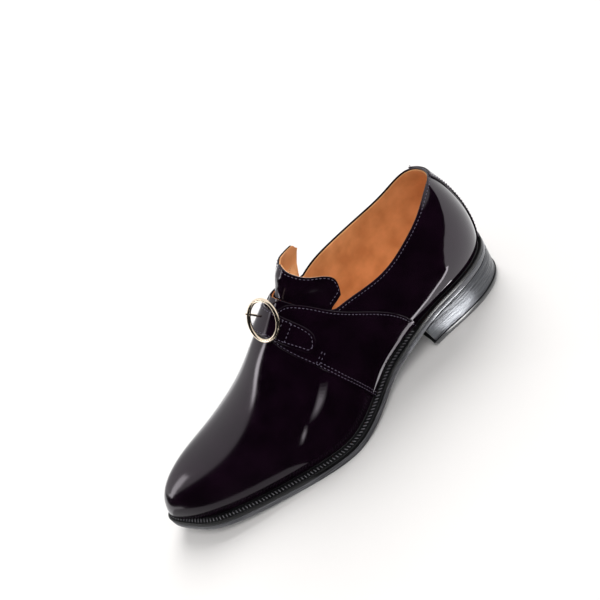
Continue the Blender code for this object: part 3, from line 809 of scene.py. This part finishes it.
def tube(name, path, radius, sides, material, closed=False):
    """A round wire along points, with round ends when it is open."""
    if closed:
        along = unit(np.roll(path, -1, axis=0) - np.roll(path, 1, axis=0))
    else:
        along = unit(np.gradient(path, axis=0))
    side = unit(np.cross(along[0], (0.3, 0.5, 0.8)))
    frames = []
    for ahead in along:
        side = unit(side - ahead * (side @ ahead))
        frames.append((side, np.cross(ahead, side)))
    twist = 0
    if closed:
        twist = math.atan2(frames[-1][0] @ frames[0][1], frames[-1][0] @ frames[0][0])
    turns = np.linspace(0, 2 * np.pi, sides, endpoint=False)[:, None]
    rings = []
    for step, (centre, (a, b)) in enumerate(zip(path, frames)):
        angle = turns - twist * step / len(path)
        rings.append(centre + radius * (np.cos(angle) * a + np.sin(angle) * b))

    def dome(centre, ring, out):
        bend = np.linspace(np.pi / 2, 0, 6)[:-1]
        return [centre + out * radius * math.sin(t) + (ring - centre) * math.cos(t) for t in bend]

    if closed:
        rings.append(rings[0])
    else:
        start, end = dome(path[0], rings[0], -along[0]), dome(path[-1], rings[-1], along[-1])
        rings = start + rings + end[::-1]
    net = Net()
    net.grid(np.stack(rings), closed=True)
    return build(name, net, material, WIRE_CREASE)


def bent_wire(name, points, samples, radius, material):
    """A wire bent smoothly through these points."""
    run, curve = through(points)
    return tube(name, curve(np.linspace(0, run[-1], samples)), radius, 16, material)


def ring_axes():
    """The ring's centre, the ways along and across it, and the way out of its plane."""
    out = unit(np.array(RING_TILT, float))
    across = unit(np.array([1.0, 0, 0]) - out * out[0])
    return np.array(RING_CENTRE, float), np.cross(across, out), across, out


def bar_ends():
    return [LAST.offset(station, BAR_GIRTH, BAR_HEIGHT) for station in BAR_STATIONS]


def make_ring(material):
    centre, along, across, _ = ring_axes()
    turns = np.linspace(0, 2 * np.pi, 160, endpoint=False)[:, None]
    path = centre + RING_RADIUS * (np.cos(turns) * along + np.sin(turns) * across)
    return tube("buckle_ring", path, RING_WIRE, 32, material, closed=True)


def make_bar(material):
    centre, along, _, _ = ring_axes()
    front, rear = bar_ends()
    rim = along * RING_RADIUS * np.sign((front - centre) @ along)
    points = [centre + rim, front, (front + rear) / 2, rear, centre - rim]
    return bent_wire("buckle_bar", points, 60, BAR_WIRE, material)


def make_prong(material):
    centre, _, across, out = ring_axes()
    front, rear = bar_ends()
    bend = LAST.offset(*PRONG_BEND, BAR_HEIGHT)
    tip = centre - across * (RING_RADIUS + PRONG_REACH) + out * (RING_WIRE + 0.4 * PRONG_WIRE)
    return bent_wire("buckle_prong", [(front + rear) / 2, bend, tip], 40, PRONG_WIRE, material)


# ---------------------------------------------------------------- stitches

# Distance between two stitches, a stitch's length, half the thread's width, and its slant in radians
Stitch = namedtuple("Stitch", "pitch length thread slant")
FINE_STITCH = Stitch(2.6, 1.6, 0.28, 0.0)
WELT_STITCH = Stitch(2.5, 3.6, 0.45, 1.1)
LIFT = 0.05  # of the rows above the leather that they hold
COLLAR_INSET = 1.9
COLLAR_SEWN = 100  # points of the top line that are sewn, each way from the back
REAR_INSET, FRONT_INSET, SECOND_INSET = 1.8, 1.4, 3.4  # of a flap's rows
TACK_FROM, TACK_TO = 0.5, 0.58  # shares of a flap's length between which its bar tacks lie
STRAP_SEWN = 0.72  # share of the strap's length at which its end's loop begins
WELT_INSET = 3.4
WELT_SEWN_FROM = 84.0  # station where the welt's stitching starts on each side


def stitch_tree():
    """Stitches spaced along a curve, each a plump thread that dips at both ends."""
    tree = bpy.data.node_groups.new("stitch_row", "GeometryNodeTree")
    face = tree.interface
    face.new_socket("Geometry", in_out="INPUT", socket_type="NodeSocketGeometry")
    for name, value in (("Pitch", 0.0025), ("Length", 0.002), ("Thread", 0.0003), ("Slant", 0.0)):
        face.new_socket(name, in_out="INPUT", socket_type="NodeSocketFloat").default_value = value
    face.new_socket("Finish", in_out="INPUT", socket_type="NodeSocketMaterial")
    face.new_socket("Geometry", in_out="OUTPUT", socket_type="NodeSocketGeometry")
    given = node(tree, "NodeGroupInput").outputs
    row = {"Curve": given["Geometry"], "Length": given["Pitch"]}
    points = node(tree, "GeometryNodeCurveToPoints", row, mode="LENGTH").outputs
    half = calculate(tree, "MULTIPLY", given["Length"], 0.5)
    body = node(tree, "GeometryNodeMeshUVSphere", {"Segments": 8, "Rings": 6, "Radius": 1.0}).outputs
    size = node(tree, "ShaderNodeCombineXYZ", {"X": given["Thread"], "Y": given["Thread"], "Z": half}).outputs
    shape = node(tree, "GeometryNodeTransform", {"Geometry": body["Mesh"], "Scale": size[0]}).outputs
    tilt = node(tree, "ShaderNodeCombineXYZ", {"Y": given["Slant"]}).outputs
    turned = node(tree, "GeometryNodeTransform", {"Geometry": shape[0], "Rotation": tilt[0]}).outputs
    stood = {"Points": points["Points"], "Instance": turned[0], "Rotation": points["Rotation"]}
    each = node(tree, "GeometryNodeInstanceOnPoints", stood).outputs
    real = node(tree, "GeometryNodeRealizeInstances", {0: each[0]}).outputs
    smooth = node(tree, "GeometryNodeSetShadeSmooth", {"Geometry": real[0]}).outputs
    paint = {"Geometry": smooth["Geometry"], "Material": given["Finish"]}
    node(tree, "NodeGroupOutput", {0: node(tree, "GeometryNodeSetMaterial", paint).outputs[0]})
    return tree


def curve_object(name, paths):
    data = bpy.data.curves.new(name, "CURVE")
    data.dimensions = "3D"
    data.twist_mode = "Z_UP"
    for path in paths:
        points = world(path)
        line = data.splines.new("POLY")
        line.points.add(len(points) - 1)
        line.points.foreach_set("co", np.hstack([points, np.ones((len(points), 1))]).ravel())
    return add(name, data)


def sew(tree, name, paths, slot, material, stitch=FINE_STITCH):
    """Rows of stitches as one plain mesh."""
    rows = curve_object(name + "_path", paths)
    sewing = rows.modifiers.new("stitches", "NODES")
    sewing.node_group = tree
    values = {
        "Pitch": stitch.pitch * MM,
        "Length": stitch.length * MM,
        "Thread": stitch.thread * MM,
        "Slant": stitch.slant,
        "Finish": material,
    }
    for item in tree.interface.items_tree:
        if item.in_out == "INPUT" and item.name in values:
            sewing[item.identifier] = values[item.name]
    graph = bpy.context.evaluated_depsgraph_get()
    data = bpy.data.meshes.new_from_object(rows.evaluated_get(graph), depsgraph=graph)
    bpy.data.objects.remove(rows, do_unlink=True)
    data.name = name
    return place(add(name, data), slot)


def joined(corners, samples):
    """Places of a panel along lines that join these corners, (u, v) pairs, in turn."""
    lines = [np.linspace(start, end, samples)[:-1] for start, end in zip(corners, corners[1:])]
    return np.concatenate(lines).T


def inset_row(locate, corners, inset, level, samples=60, turn=1):
    """A row of stitching set in from a panel's border, at a level above its underside."""
    u, v = joined(corners, samples)
    edge = locate(u, v, 0 * u)
    normal = unit(locate(u, v, 0 * u + 0.5) - edge)
    along = unit(np.gradient(edge, axis=0))
    return edge + turn * inset * np.cross(normal, along) + normal * level


def both_borders(locate, start, end, inset, level):
    """Rows along the two long borders of a panel, between two shares of its length."""
    return [inset_row(locate, [(start, v), (end, v)], inset, level, turn=t) for v, t in ((0, 1), (1, -1))]


def flap_rows(side):
    """Rows along both edges of a flap, a second one at the front, and two bar tacks at its end."""

    def row(start, end, v, inset, samples):
        turn = side if v == 1 else -side
        return inset_row(flap_place(side), [(start, v), (end, v)], inset, FLAP_THICK + LIFT, samples, turn)

    edges = [
        row(0, 1, 0, REAR_INSET, 120),
        row(0, 1, 1, FRONT_INSET, 120),
        row(0, TACK_FROM, 1, SECOND_INSET, 80),
    ]
    tack, outer = (row(TACK_FROM, TACK_TO, 1, inset, 12) for inset in (SECOND_INSET, FRONT_INSET))
    inward = unit(tack[0] - outer[0])
    return edges + [tack[k] + inward * np.linspace(-1, 6, 9)[:, None] for k in (0, 3)]


def strap_rows():
    """A loop round the strap's outer end with two rows across it, and a row along each side."""
    level = STRAP_THICK + LIFT
    corners = [(STRAP_SEWN, 0.0), (1.0, 0.0), (1.0, 1.0), (STRAP_SEWN, 1.0)]
    loop = inset_row(strap_place, corners, 2.0, level)
    v = np.linspace(0.14, 0.86, 20)
    across = [strap_place(u + 0 * v, v, 0 * v + level) for u in (STRAP_SEWN, 0.67)]
    return [loop, *across, *both_borders(strap_place, 0.2, STRAP_SEWN, 1.6, level)]


def sew_shoe(fine, stout):
    """Every row of stitching on the shoe."""
    tree = stitch_tree()
    edge, normal, free = open_edge(0.0)
    line = edge - free * COLLAR_INSET + normal * 0.1
    sew(tree, "collar_stitch", [np.roll(line, COLLAR_SEWN, axis=0)[: 2 * COLLAR_SEWN]], "upper", fine)
    for name, side in (("lateral", 1), ("medial", -1)):
        sew(tree, "flap_stitch_" + name, flap_rows(side), "flap_" + name, fine)
    sew(tree, "strap_stitch", strap_rows(), "strap", fine)
    u, v = joined([(0.6, 0.98), (0.95, 0.98), (0.95, 0.03), (0.66, 0.03)], 90)
    top = tongue_place(-TONGUE_THICK)(u, v, 0 * u + TONGUE_THICK + LIFT)
    sew(tree, "tongue_stitch", [top], "tongue", fine)
    sides = both_borders(strip_place, 0.0, 1.0, 1.5, STRIP_THICK + LIFT)
    sew(tree, "back_strip_stitch", sides, "back_strip", fine)
    edge = start_at_back(outline(past(-WELT_INSET), 900))
    row = risen(edge[edge[:, 1] > WELT_SEWN_FROM], below_feather(0.2))
    sew(tree, "welt_stitch", [row], "welt", stout, WELT_STITCH)


# ---------------------------------------------------------------- finishes

VIOLET = (1.0, 0.91, 1.0)  # tint of what the oxblood polish mirrors
COOL = (0.88, 0.93, 1.0)  # tint of what the inked edges mirror
OXBLOOD = ((0.003, 0.0009, 0.003), (0.0062, 0.0018, 0.0058))  # its darker and its lighter tone
SOFT_FROM, SOFT_TO = 0.0, -0.11  # places along the shoe between which the polish softens toward the toe
STREAKS = 60.0  # to a metre, along the edge of layered leather
LEATHER_SHARE = 0.15  # of the grain in the height of such an edge


def feed(tree, target, inputs):
    """Links or sets a node's inputs."""
    for key, value in inputs.items():
        if isinstance(value, bpy.types.NodeSocket):
            tree.links.new(value, target.inputs[key])
        else:
            target.inputs[key].default_value = value


def node(tree, kind, inputs=None, **settings):
    made = tree.nodes.new(kind)
    for key, value in settings.items():
        setattr(made, key, value)
    feed(tree, made, inputs or {})
    return made


def calculate(tree, operation, *values):
    return node(tree, "ShaderNodeMath", dict(enumerate(values)), operation=operation).outputs[0]


def object_place(tree):
    return node(tree, "ShaderNodeTexCoord").outputs["Object"]


def noise(tree, at, scale, detail):
    return node(tree, "ShaderNodeTexNoise", {"Vector": at, "Scale": scale, "Detail": detail}).outputs["Fac"]


def spread(tree, value, low, high, to=(0, 1), **settings):
    """Stretches the range from low to high over another range."""
    inputs = {"Value": value, "From Min": low, "From Max": high, "To Min": to[0], "To Max": to[1]}
    return node(tree, "ShaderNodeMapRange", inputs, **settings).outputs["Result"]


def blend(tree, mask, low, high):
    """Low where the mask is 0, high where it is 1."""
    return node(tree, "ShaderNodeMix", {0: mask, 2: low, 3: high}, data_type="FLOAT").outputs[0]


def two_tones(tree, mask, dark, light):
    """Dark where the mask is 0, light where it is 1."""
    inputs = {"Factor": mask, "A": (*dark, 1), "B": (*light, 1)}
    mixed = node(tree, "ShaderNodeMix", inputs, data_type="RGBA")
    return next(s for s in mixed.outputs if s.type == "RGBA" and s.enabled)


def bumped(tree, height, depth, strength=1.0):
    inputs = {"Height": height, "Strength": strength, "Distance": depth * MM}
    return node(tree, "ShaderNodeBump", inputs).outputs["Normal"]


def grain_group():
    """Leather: a height for its pores and soft waves, and a tone that shifts over centimetres."""
    tree = bpy.data.node_groups.new("leather_grain", "ShaderNodeTree")
    for name, value in (("Pore", 0.7), ("Cloud", 18.0), ("Wave", 9.0), ("Wave Share", 1.0)):
        tree.interface.new_socket(name, in_out="INPUT", socket_type="NodeSocketFloat").default_value = value
    for name in ("Height", "Tone"):
        tree.interface.new_socket(name, in_out="OUTPUT", socket_type="NodeSocketFloat")
    given = node(tree, "NodeGroupInput").outputs
    at = object_place(tree)
    scale = {name: calculate(tree, "DIVIDE", 1 / MM, given[name]) for name in ("Pore", "Cloud", "Wave")}
    cells = node(tree, "ShaderNodeTexVoronoi", {"Vector": at, "Scale": scale["Pore"]}, feature="SMOOTH_F1")
    pores = calculate(tree, "ADD", cells.outputs["Distance"], noise(tree, at, scale["Pore"], 3.0))
    wave = noise(tree, at, scale["Wave"], 1.0)
    height = calculate(tree, "MULTIPLY_ADD", wave, given["Wave Share"], pores)
    node(tree, "NodeGroupOutput", {"Height": height, "Tone": noise(tree, at, scale["Cloud"], 4.0)})
    return tree


def blank(name):
    material = bpy.data.materials.new(name)
    material.use_nodes = True
    tree = material.node_tree
    return material, tree, tree.nodes["Principled BSDF"]


def leather(name, grain, dark, light, rough, pore, depth, wave=1.0, ior=1.5, toe_rough=0.0, sheen=(1, 1, 1)):
    """A finished leather: two tones clouded together, a little uneven in gloss, with fine grain.

    toe_rough is how much softer the polish is at the toe, and sheen is the tint of what it mirrors.
    """
    material, tree, shader = blank(name)
    skin = node(tree, "ShaderNodeGroup", {}, node_tree=grain)
    feed(tree, skin, {"Pore": pore, "Wave Share": wave})
    height, tone = skin.outputs["Height"], skin.outputs["Tone"]
    along = node(tree, "ShaderNodeSeparateXYZ", {0: object_place(tree)}).outputs["Y"]
    fore = spread(tree, along, SOFT_FROM, SOFT_TO, (0, toe_rough), interpolation_type="SMOOTHSTEP")
    finish = {
        "Base Color": two_tones(tree, spread(tree, tone, 0.35, 0.65), dark, light),
        "Roughness": calculate(tree, "ADD", spread(tree, tone, 0.3, 0.7, rough), fore),
        "Normal": bumped(tree, height, depth),
        "IOR": ior,
        "Specular Tint": (*sheen, 1),
    }
    feed(tree, shader, finish)
    return material


def layered(name, grain, dark, light, rough, layer, depth=0.14):
    """The edge of thin layers of leather, inked and polished, which shows as fine streaks."""
    material, tree, shader = blank(name)
    flat = {"Vector": object_place(tree), "Scale": (STREAKS, STREAKS, 1 / (layer * MM))}
    streak = noise(tree, node(tree, "ShaderNodeMapping", flat).outputs[0], 1.0, 3.0)
    skin = node(tree, "ShaderNodeGroup", {}, node_tree=grain)
    feed(tree, skin, {"Pore": 0.6})
    height = calculate(tree, "MULTIPLY_ADD", skin.outputs["Height"], LEATHER_SHARE, streak)
    finish = {
        "Base Color": two_tones(tree, spread(tree, streak, 0.35, 0.7), dark, light),
        "Roughness": spread(tree, streak, 0.3, 0.7, rough),
        "Normal": bumped(tree, height, depth),
        "Specular Tint": (*COOL, 1),
    }
    feed(tree, shader, finish)
    return material


def thread(name, colour, rough=0.5):
    material, tree, shader = blank(name)
    fibre = noise(tree, object_place(tree), 6000.0, 2.0)
    dark, light = ([shade * c for c in colour] for shade in (0.6, 1.4))
    finish = {
        "Base Color": two_tones(tree, fibre, dark, light),
        "Roughness": rough,
        "Normal": bumped(tree, fibre, 0.05, 0.6),
    }
    feed(tree, shader, finish)
    return material


def metal(name, colour, rough):
    material, tree, shader = blank(name)
    wear = noise(tree, object_place(tree), 900.0, 4.0)
    gloss = spread(tree, wear, 0.3, 0.7, rough)
    feed(tree, shader, {"Base Color": (*colour, 1), "Metallic": 1.0, "Roughness": gloss})
    return material


# ---------------------------------------------------------------- studio

Region = namedtuple("Region", "light caps")
Cap = namedtuple("Cap", "azimuth elevation reach soft")
DARK = 0.004
# What the polish mirrors above the table, painted one over another: a white room with a black
# hanging in front and a narrow lamp at the hanging's edge
SURROUND = (
    Region(1.2, (Cap(0, 90, 178, 1.0),)),
    Region(DARK, (Cap(-55, 0, 90, 3.0), Cap(11, -39, 134.5, 1.2))),
    Region(
        9.0,
        (
            Cap(11, -39, 137.2, 0.8),
            Cap(-169, 39, 45.6, 0.8),
            Cap(0, -90, 127, 5.0),
            Cap(0, 90, 72, 6.0),
            Cap(-60, 0, 90, 3.0),
        ),
    ),
)
# Cards laid round the shoe, seen only in its polish: light and outline, in x and y of the table
Card = namedtuple("Card", "name light outline")
HEEL_EDGE = (
    (240, 460), (190, 300), (150, 195), (118, 155), (89, 133), (71, 124), (64, 112), (59, 100),
    (56, 92), (53, 75), (52, 63), (47, 55), (41, 46), (37, 38), (34, 25),
)  # fmt: skip
FAR = 6000.0
CARDS = (
    Card("white_table", 1.5, ((-FAR, -FAR), (FAR, -FAR), (FAR, FAR), (-FAR, FAR))),
    Card(
        "black_card",
        DARK,
        (
            *HEEL_EDGE, (30, 0), (30, -60), (40, -300),
            (900, -FAR), (FAR, -FAR), (FAR, FAR), (900, FAR),
        ),
    ),
    Card(
        "heel_card",
        22.0,
        ((32, 84), (40, 83), (46, 91), (46.3, 103), (46.2, 115), (42, 121), (35, 114), (31, 100)),
    ),
    Card(
        "toe_card",
        0.6,
        (
            (30, -44), (40, -38), (54, -58), (70, -84), (81, -112),
            (84, -160), (60, -260), (30, -300), (-20, -300), (-20, -44),
        ),
    ),
    Card(
        "light_strip",
        8.0,
        (
            (76, 127), (71, 124), (64, 112), (59, 100), (56, 92), (53, 75), (52, 63), (48, 56),
            (45, 56), (48, 63), (50, 75), (53, 92), (56, 100), (61, 113), (67, 124), (73, 130),
        ),
    ),
)  # fmt: skip
CARD_STEP = 0.1  # each card lies this far above the last
# Small lamps hung near the shoe, which shine only towards it. One of several layers has a soft edge.
Lamp = namedtuple("Lamp", "name light layers corners")
LAMPS = (
    Lamp(
        "toe_lamp",
        5.0,
        1,
        (
            (-48, -150, 104), (-28, -147, 107), (-24, -170, 98),
            (-24, -205, 65), (-40, -205, 63), (-46, -175, 88),
        ),
    ),
    Lamp(
        "ball_lamp",
        2.8,
        5,
        (
            (88, 3, 55), (91, -8, 50), (93, -24, 47), (88, -44, 45), (85, -54, 47),
            (84, -50, 52), (85, -38, 57), (85, -24, 62), (86, -11, 65),
        ),
    ),
    Lamp(
        "waist_lamp",
        4.0,
        1,
        (
            (29.2, 65, 27), (28.8, 60, 24.8), (28.6, 55, 23), (28.2, 50.7, 21.2),
            (28.2, 46.3, 19.6), (28.4, 42, 18.5), (29.1, 37.4, 17.3), (30, 33.4, 16.4),
            (31.4, 29, 15.4), (32.9, 25.4, 14.2), (34.9, 21.2, 13.7), (37.3, 16.3, 12.8),
            (37.5, 16, 13.3), (35.3, 20.5, 14.8), (33.7, 24.3, 16), (32.2, 28, 17.2),
            (30.8, 32, 18.1), (29.7, 36, 19.1), (29, 40, 20.3), (28.6, 44.7, 21.6),
            (28.6, 49, 23), (28.7, 53, 24.6), (29, 58, 26.5), (29.5, 63.5, 29.3),
        ),
    ),
    Lamp(
        "low_lamp",
        3.6,
        3,
        (
            (82, -62, 44), (83, -65, 37), (83, -69, 31), (82.5, -73, 25),
            (81, -75, 30), (79, -71, 40), (80, -66, 47),
        ),
    ),
)  # fmt: skip
LAMP_SPREAD = 1.4  # a layered lamp shrinks from this, less its share, towards the shoe
LAMP_STEP = 0.4  # between two layers
LAMP_FADE = 1.5  # power by which the outer layers are dimmer
# Two far lamps. The spread is how many degrees wide each looks from the shoe.
Sun = namedtuple("Sun", "name azimuth elevation spread strength")
SUNS = (
    Sun("window", 145, 48, 46, 2.8),
    Sun("fill", 0, 60, 35, 1.1),
)
BACKDROP = 1.4  # what the camera sees past the floor
AIR = 0.65  # the plain light that falls on the shoe from all round


def direction(azimuth, elevation):
    a, e = math.radians(azimuth), math.radians(elevation)
    return (math.cos(e) * math.cos(a), math.cos(e) * math.sin(a), math.sin(e))


def cap_mask(tree, at, cap):
    """1 in the ways that lie within the cap, 0 in the others, with a soft edge."""
    pair = {0: at, 1: direction(cap.azimuth, cap.elevation)}
    near = node(tree, "ShaderNodeVectorMath", pair, operation="DOT_PRODUCT").outputs["Value"]
    outside, inside = (math.cos(math.radians(cap.reach + s * cap.soft)) for s in (1, -1))
    return spread(tree, near, outside, inside, interpolation_type="SMOOTHSTEP")


def make_surround():
    air = bpy.data.worlds.new("studio")
    bpy.context.scene.world = air
    air.use_nodes = True
    tree = air.node_tree
    tree.nodes.clear()
    at = node(tree, "ShaderNodeTexCoord").outputs["Generated"]
    mirrored = DARK
    for region in SURROUND:
        mask, *others = (cap_mask(tree, at, cap) for cap in region.caps)
        for other in others:
            mask = calculate(tree, "MULTIPLY", mask, other)
        mirrored = blend(tree, mask, mirrored, region.light)
    sight = node(tree, "ShaderNodeLightPath").outputs
    seen = blend(tree, sight["Is Camera Ray"], AIR, BACKDROP)
    strength = blend(tree, sight["Is Glossy Ray"], seen, mirrored)
    back = node(tree, "ShaderNodeBackground", {"Strength": strength})
    node(tree, "ShaderNodeOutputWorld", {0: back.outputs[0]})


def sheet(name, corners):
    data = bpy.data.meshes.new(name)
    data.from_pydata([tuple(MM * c for c in corner) for corner in corners], [], [range(len(corners))])
    obj = add(name, data)
    return obj


def make_card(name, light, corners, behind):
    """A sheet that glows evenly, by another light behind, and shows only where polish mirrors it."""
    card = sheet(name, corners)
    material, tree, shader = blank(name)
    rear = node(tree, "ShaderNodeNewGeometry").outputs["Backfacing"]
    finish = {
        "Base Color": (0, 0, 0, 1),
        "Specular IOR Level": 0,
        "Emission Color": (1, 1, 1, 1),
        "Emission Strength": spread(tree, rear, 0, 1, (light, behind)),
    }
    feed(tree, shader, finish)
    card.data.materials.append(material)
    for sense in ("camera", "diffuse", "shadow", "transmission", "volume_scatter"):
        setattr(card, "visible_" + sense, False)


def make_floor():
    floor = sheet("floor", [(x, y, 0) for x, y in CARDS[0].outline])
    material, tree, shader = blank("pale_floor")
    feed(tree, shader, {"Base Color": (0.70, 0.685, 0.674, 1), "Roughness": 0.6, "Specular IOR Level": 0.2})
    floor.data.materials.append(material)
    floor.visible_glossy = False


def make_cards():
    for step, card in enumerate(CARDS):
        height = CARD_STEP * (step + 1)
        make_card(card.name, card.light, [(x, y, height) for x, y in card.outline], card.light)
    for lamp in LAMPS:
        corners = np.array(lamp.corners, float)
        middle = corners.mean(0)
        for layer in range(lamp.layers):
            share = (layer + 1) / lamp.layers
            size = LAMP_SPREAD - share if lamp.layers > 1 else 1
            placed = middle + (corners - middle) * size - (LAMP_STEP * layer, 0, 0)
            make_card(f"{lamp.name}_{layer}", lamp.light * share**LAMP_FADE, placed, DARK)


def make_suns():
    for sun in SUNS:
        data = bpy.data.lights.new(sun.name, "SUN")
        data.angle = math.radians(sun.spread)
        data.energy = sun.strength
        obj = add(sun.name, data)
        towards = Vector(direction(sun.azimuth, sun.elevation))
        obj.location = towards
        obj.rotation_euler = towards.to_track_quat("Z", "Y").to_euler()
        obj.visible_glossy = False
        obj.visible_camera = False


CAMERA_AT = (407.8, 170.0, 341.4)  # x, station and height
CAMERA_AHEAD = (-0.8406, 0.0876, -0.5345)  # the way it looks, in the part's frame
CAMERA_UP = (-0.3523, 0.6611, 0.6625)
CAMERA_LENS = 43.46
CAMERA_FILM = 36.0


def make_camera():
    data = bpy.data.cameras.new("camera")
    data.lens = CAMERA_LENS
    data.sensor_width = CAMERA_FILM
    data.clip_start = 0.01
    obj = add("camera", data)
    ahead, up = Vector(CAMERA_AHEAD).normalized(), Vector(CAMERA_UP)
    right = ahead.cross(up).normalized()
    turn = Matrix((right, right.cross(ahead), -ahead)).transposed().to_4x4()
    obj.matrix_world = Matrix.Translation(Vector(world(CAMERA_AT))) @ turn
    bpy.context.scene.camera = obj


# ---------------------------------------------------------------- the shoe


def make_finishes():
    """The shoe's materials, by name."""
    grain = grain_group()
    polish = {"pore": 0.5, "depth": 0.001, "wave": 12, "sheen": VIOLET}
    welt = ((0.0018, 0.0018, 0.0022), (0.005, 0.005, 0.006), (0.42, 0.58))
    # The outsole's edge: its own dark inked tone, made a lighter grey to stand for the pale floor its polish
    # would mirror, a painted reflection
    edge = ((0.055, 0.055, 0.06), (0.12, 0.118, 0.128), (0.18, 0.3))
    tan = ((0.66, 0.31, 0.12), (0.88, 0.46, 0.2), (0.45, 0.6))
    heel = ((0.012, 0.012, 0.014), (0.03, 0.0295, 0.036), (0.25, 0.55))
    rubber = ((0.004, 0.004, 0.005), (0.009, 0.009, 0.010), (0.3, 0.45))
    return {
        "oxblood": leather("oxblood_leather", grain, *OXBLOOD, (0.04, 0.08), toe_rough=0.11, **polish),
        "welt": leather("black_welt", grain, *welt, pore=0.8, depth=0.05),
        "edge": layered("sole_edge_painted_reflection", grain, *edge, layer=0.8),
        "tan": leather("tan_lining", grain, *tan, pore=1.0, depth=0.03, ior=1.4),
        "heel": layered("heel_leather", grain, *heel, layer=1.5, depth=0.6),
        "rubber": leather("heel_rubber", grain, *rubber, pore=1.2, depth=0.03),
        "satin": leather("tongue_leather", grain, *OXBLOOD, (0.08, 0.12), **polish),
        "gold": metal("pale_gold", (0.93, 0.79, 0.62), (0.14, 0.22)),
        "plum": thread("plum_thread", (0.10, 0.085, 0.125)),
        "ink": thread("welt_thread", (0.14, 0.137, 0.15), 0.25),
    }


def main():
    finish = make_finishes()
    oxblood, tan, gold = finish["oxblood"], finish["tan"], finish["gold"]

    place(wall("upper", 0.0, -SKIN, 0.0, 64, oxblood), "upper", "upper")
    place(wall("lining", -SKIN - SEAM, -WALL, TOP_DROP, 40, tan), "upper")
    place(make_welt(finish["welt"]), "welt", "welt")
    place(make_outsole(finish["edge"]), "outsole", "outsole")
    under_sole, joint = below_feather(BOTTOM_THICK + SEAM), TOP_PIECE_THICK
    stack = make_heel("heel_stack", joint + SEAM, under_sole, finish["heel"])
    place(stack, "heel_stack", "heel_stack")
    top_piece = make_heel("heel_top_piece", 0.0, constant(joint - SEAM), finish["rubber"])
    place(top_piece, "heel_top_piece", "heel_top_piece")
    place(make_insole(tan), "insole", "insole")

    size = (40, 62)
    tongue = panel("tongue", tongue_place(-SKIN), size, (70, 90), SKIN, 0.5, finish["satin"])
    place(tongue, "tongue", "tongue")
    thick = TONGUE_THICK - SKIN - SEAM
    inside = panel("tongue_lining", tongue_place(-TONGUE_THICK), size, (50, 70), thick, 0.4, tan)
    place(inside, "tongue")
    for name, side in (("flap_lateral", 1), ("flap_medial", -1)):
        flap = panel(name, flap_place(side), (90, 40), (110, 60), FLAP_THICK, 0.45, oxblood)
        place(flap, name, name)
    place(panel("strap", strap_place, (68, 14), (140, 36), STRAP_THICK, 0.5, oxblood), "strap", "strap")
    strip = panel("back_strip", strip_place, (62, 24), (60, 40), STRIP_THICK, 0.4, oxblood)
    place(strip, "back_strip", "back_strip")

    ring = place(make_ring(gold), "buckle", "buckle")
    ring.visible_glossy = False
    place(make_bar(gold), "buckle")
    place(make_prong(gold), "buckle")
    sew_shoe(finish["plum"], finish["ink"])

    make_surround()
    make_floor()
    make_cards()
    make_suns()
    make_camera()
    bpy.context.scene.view_settings.view_transform = "Standard"


main()
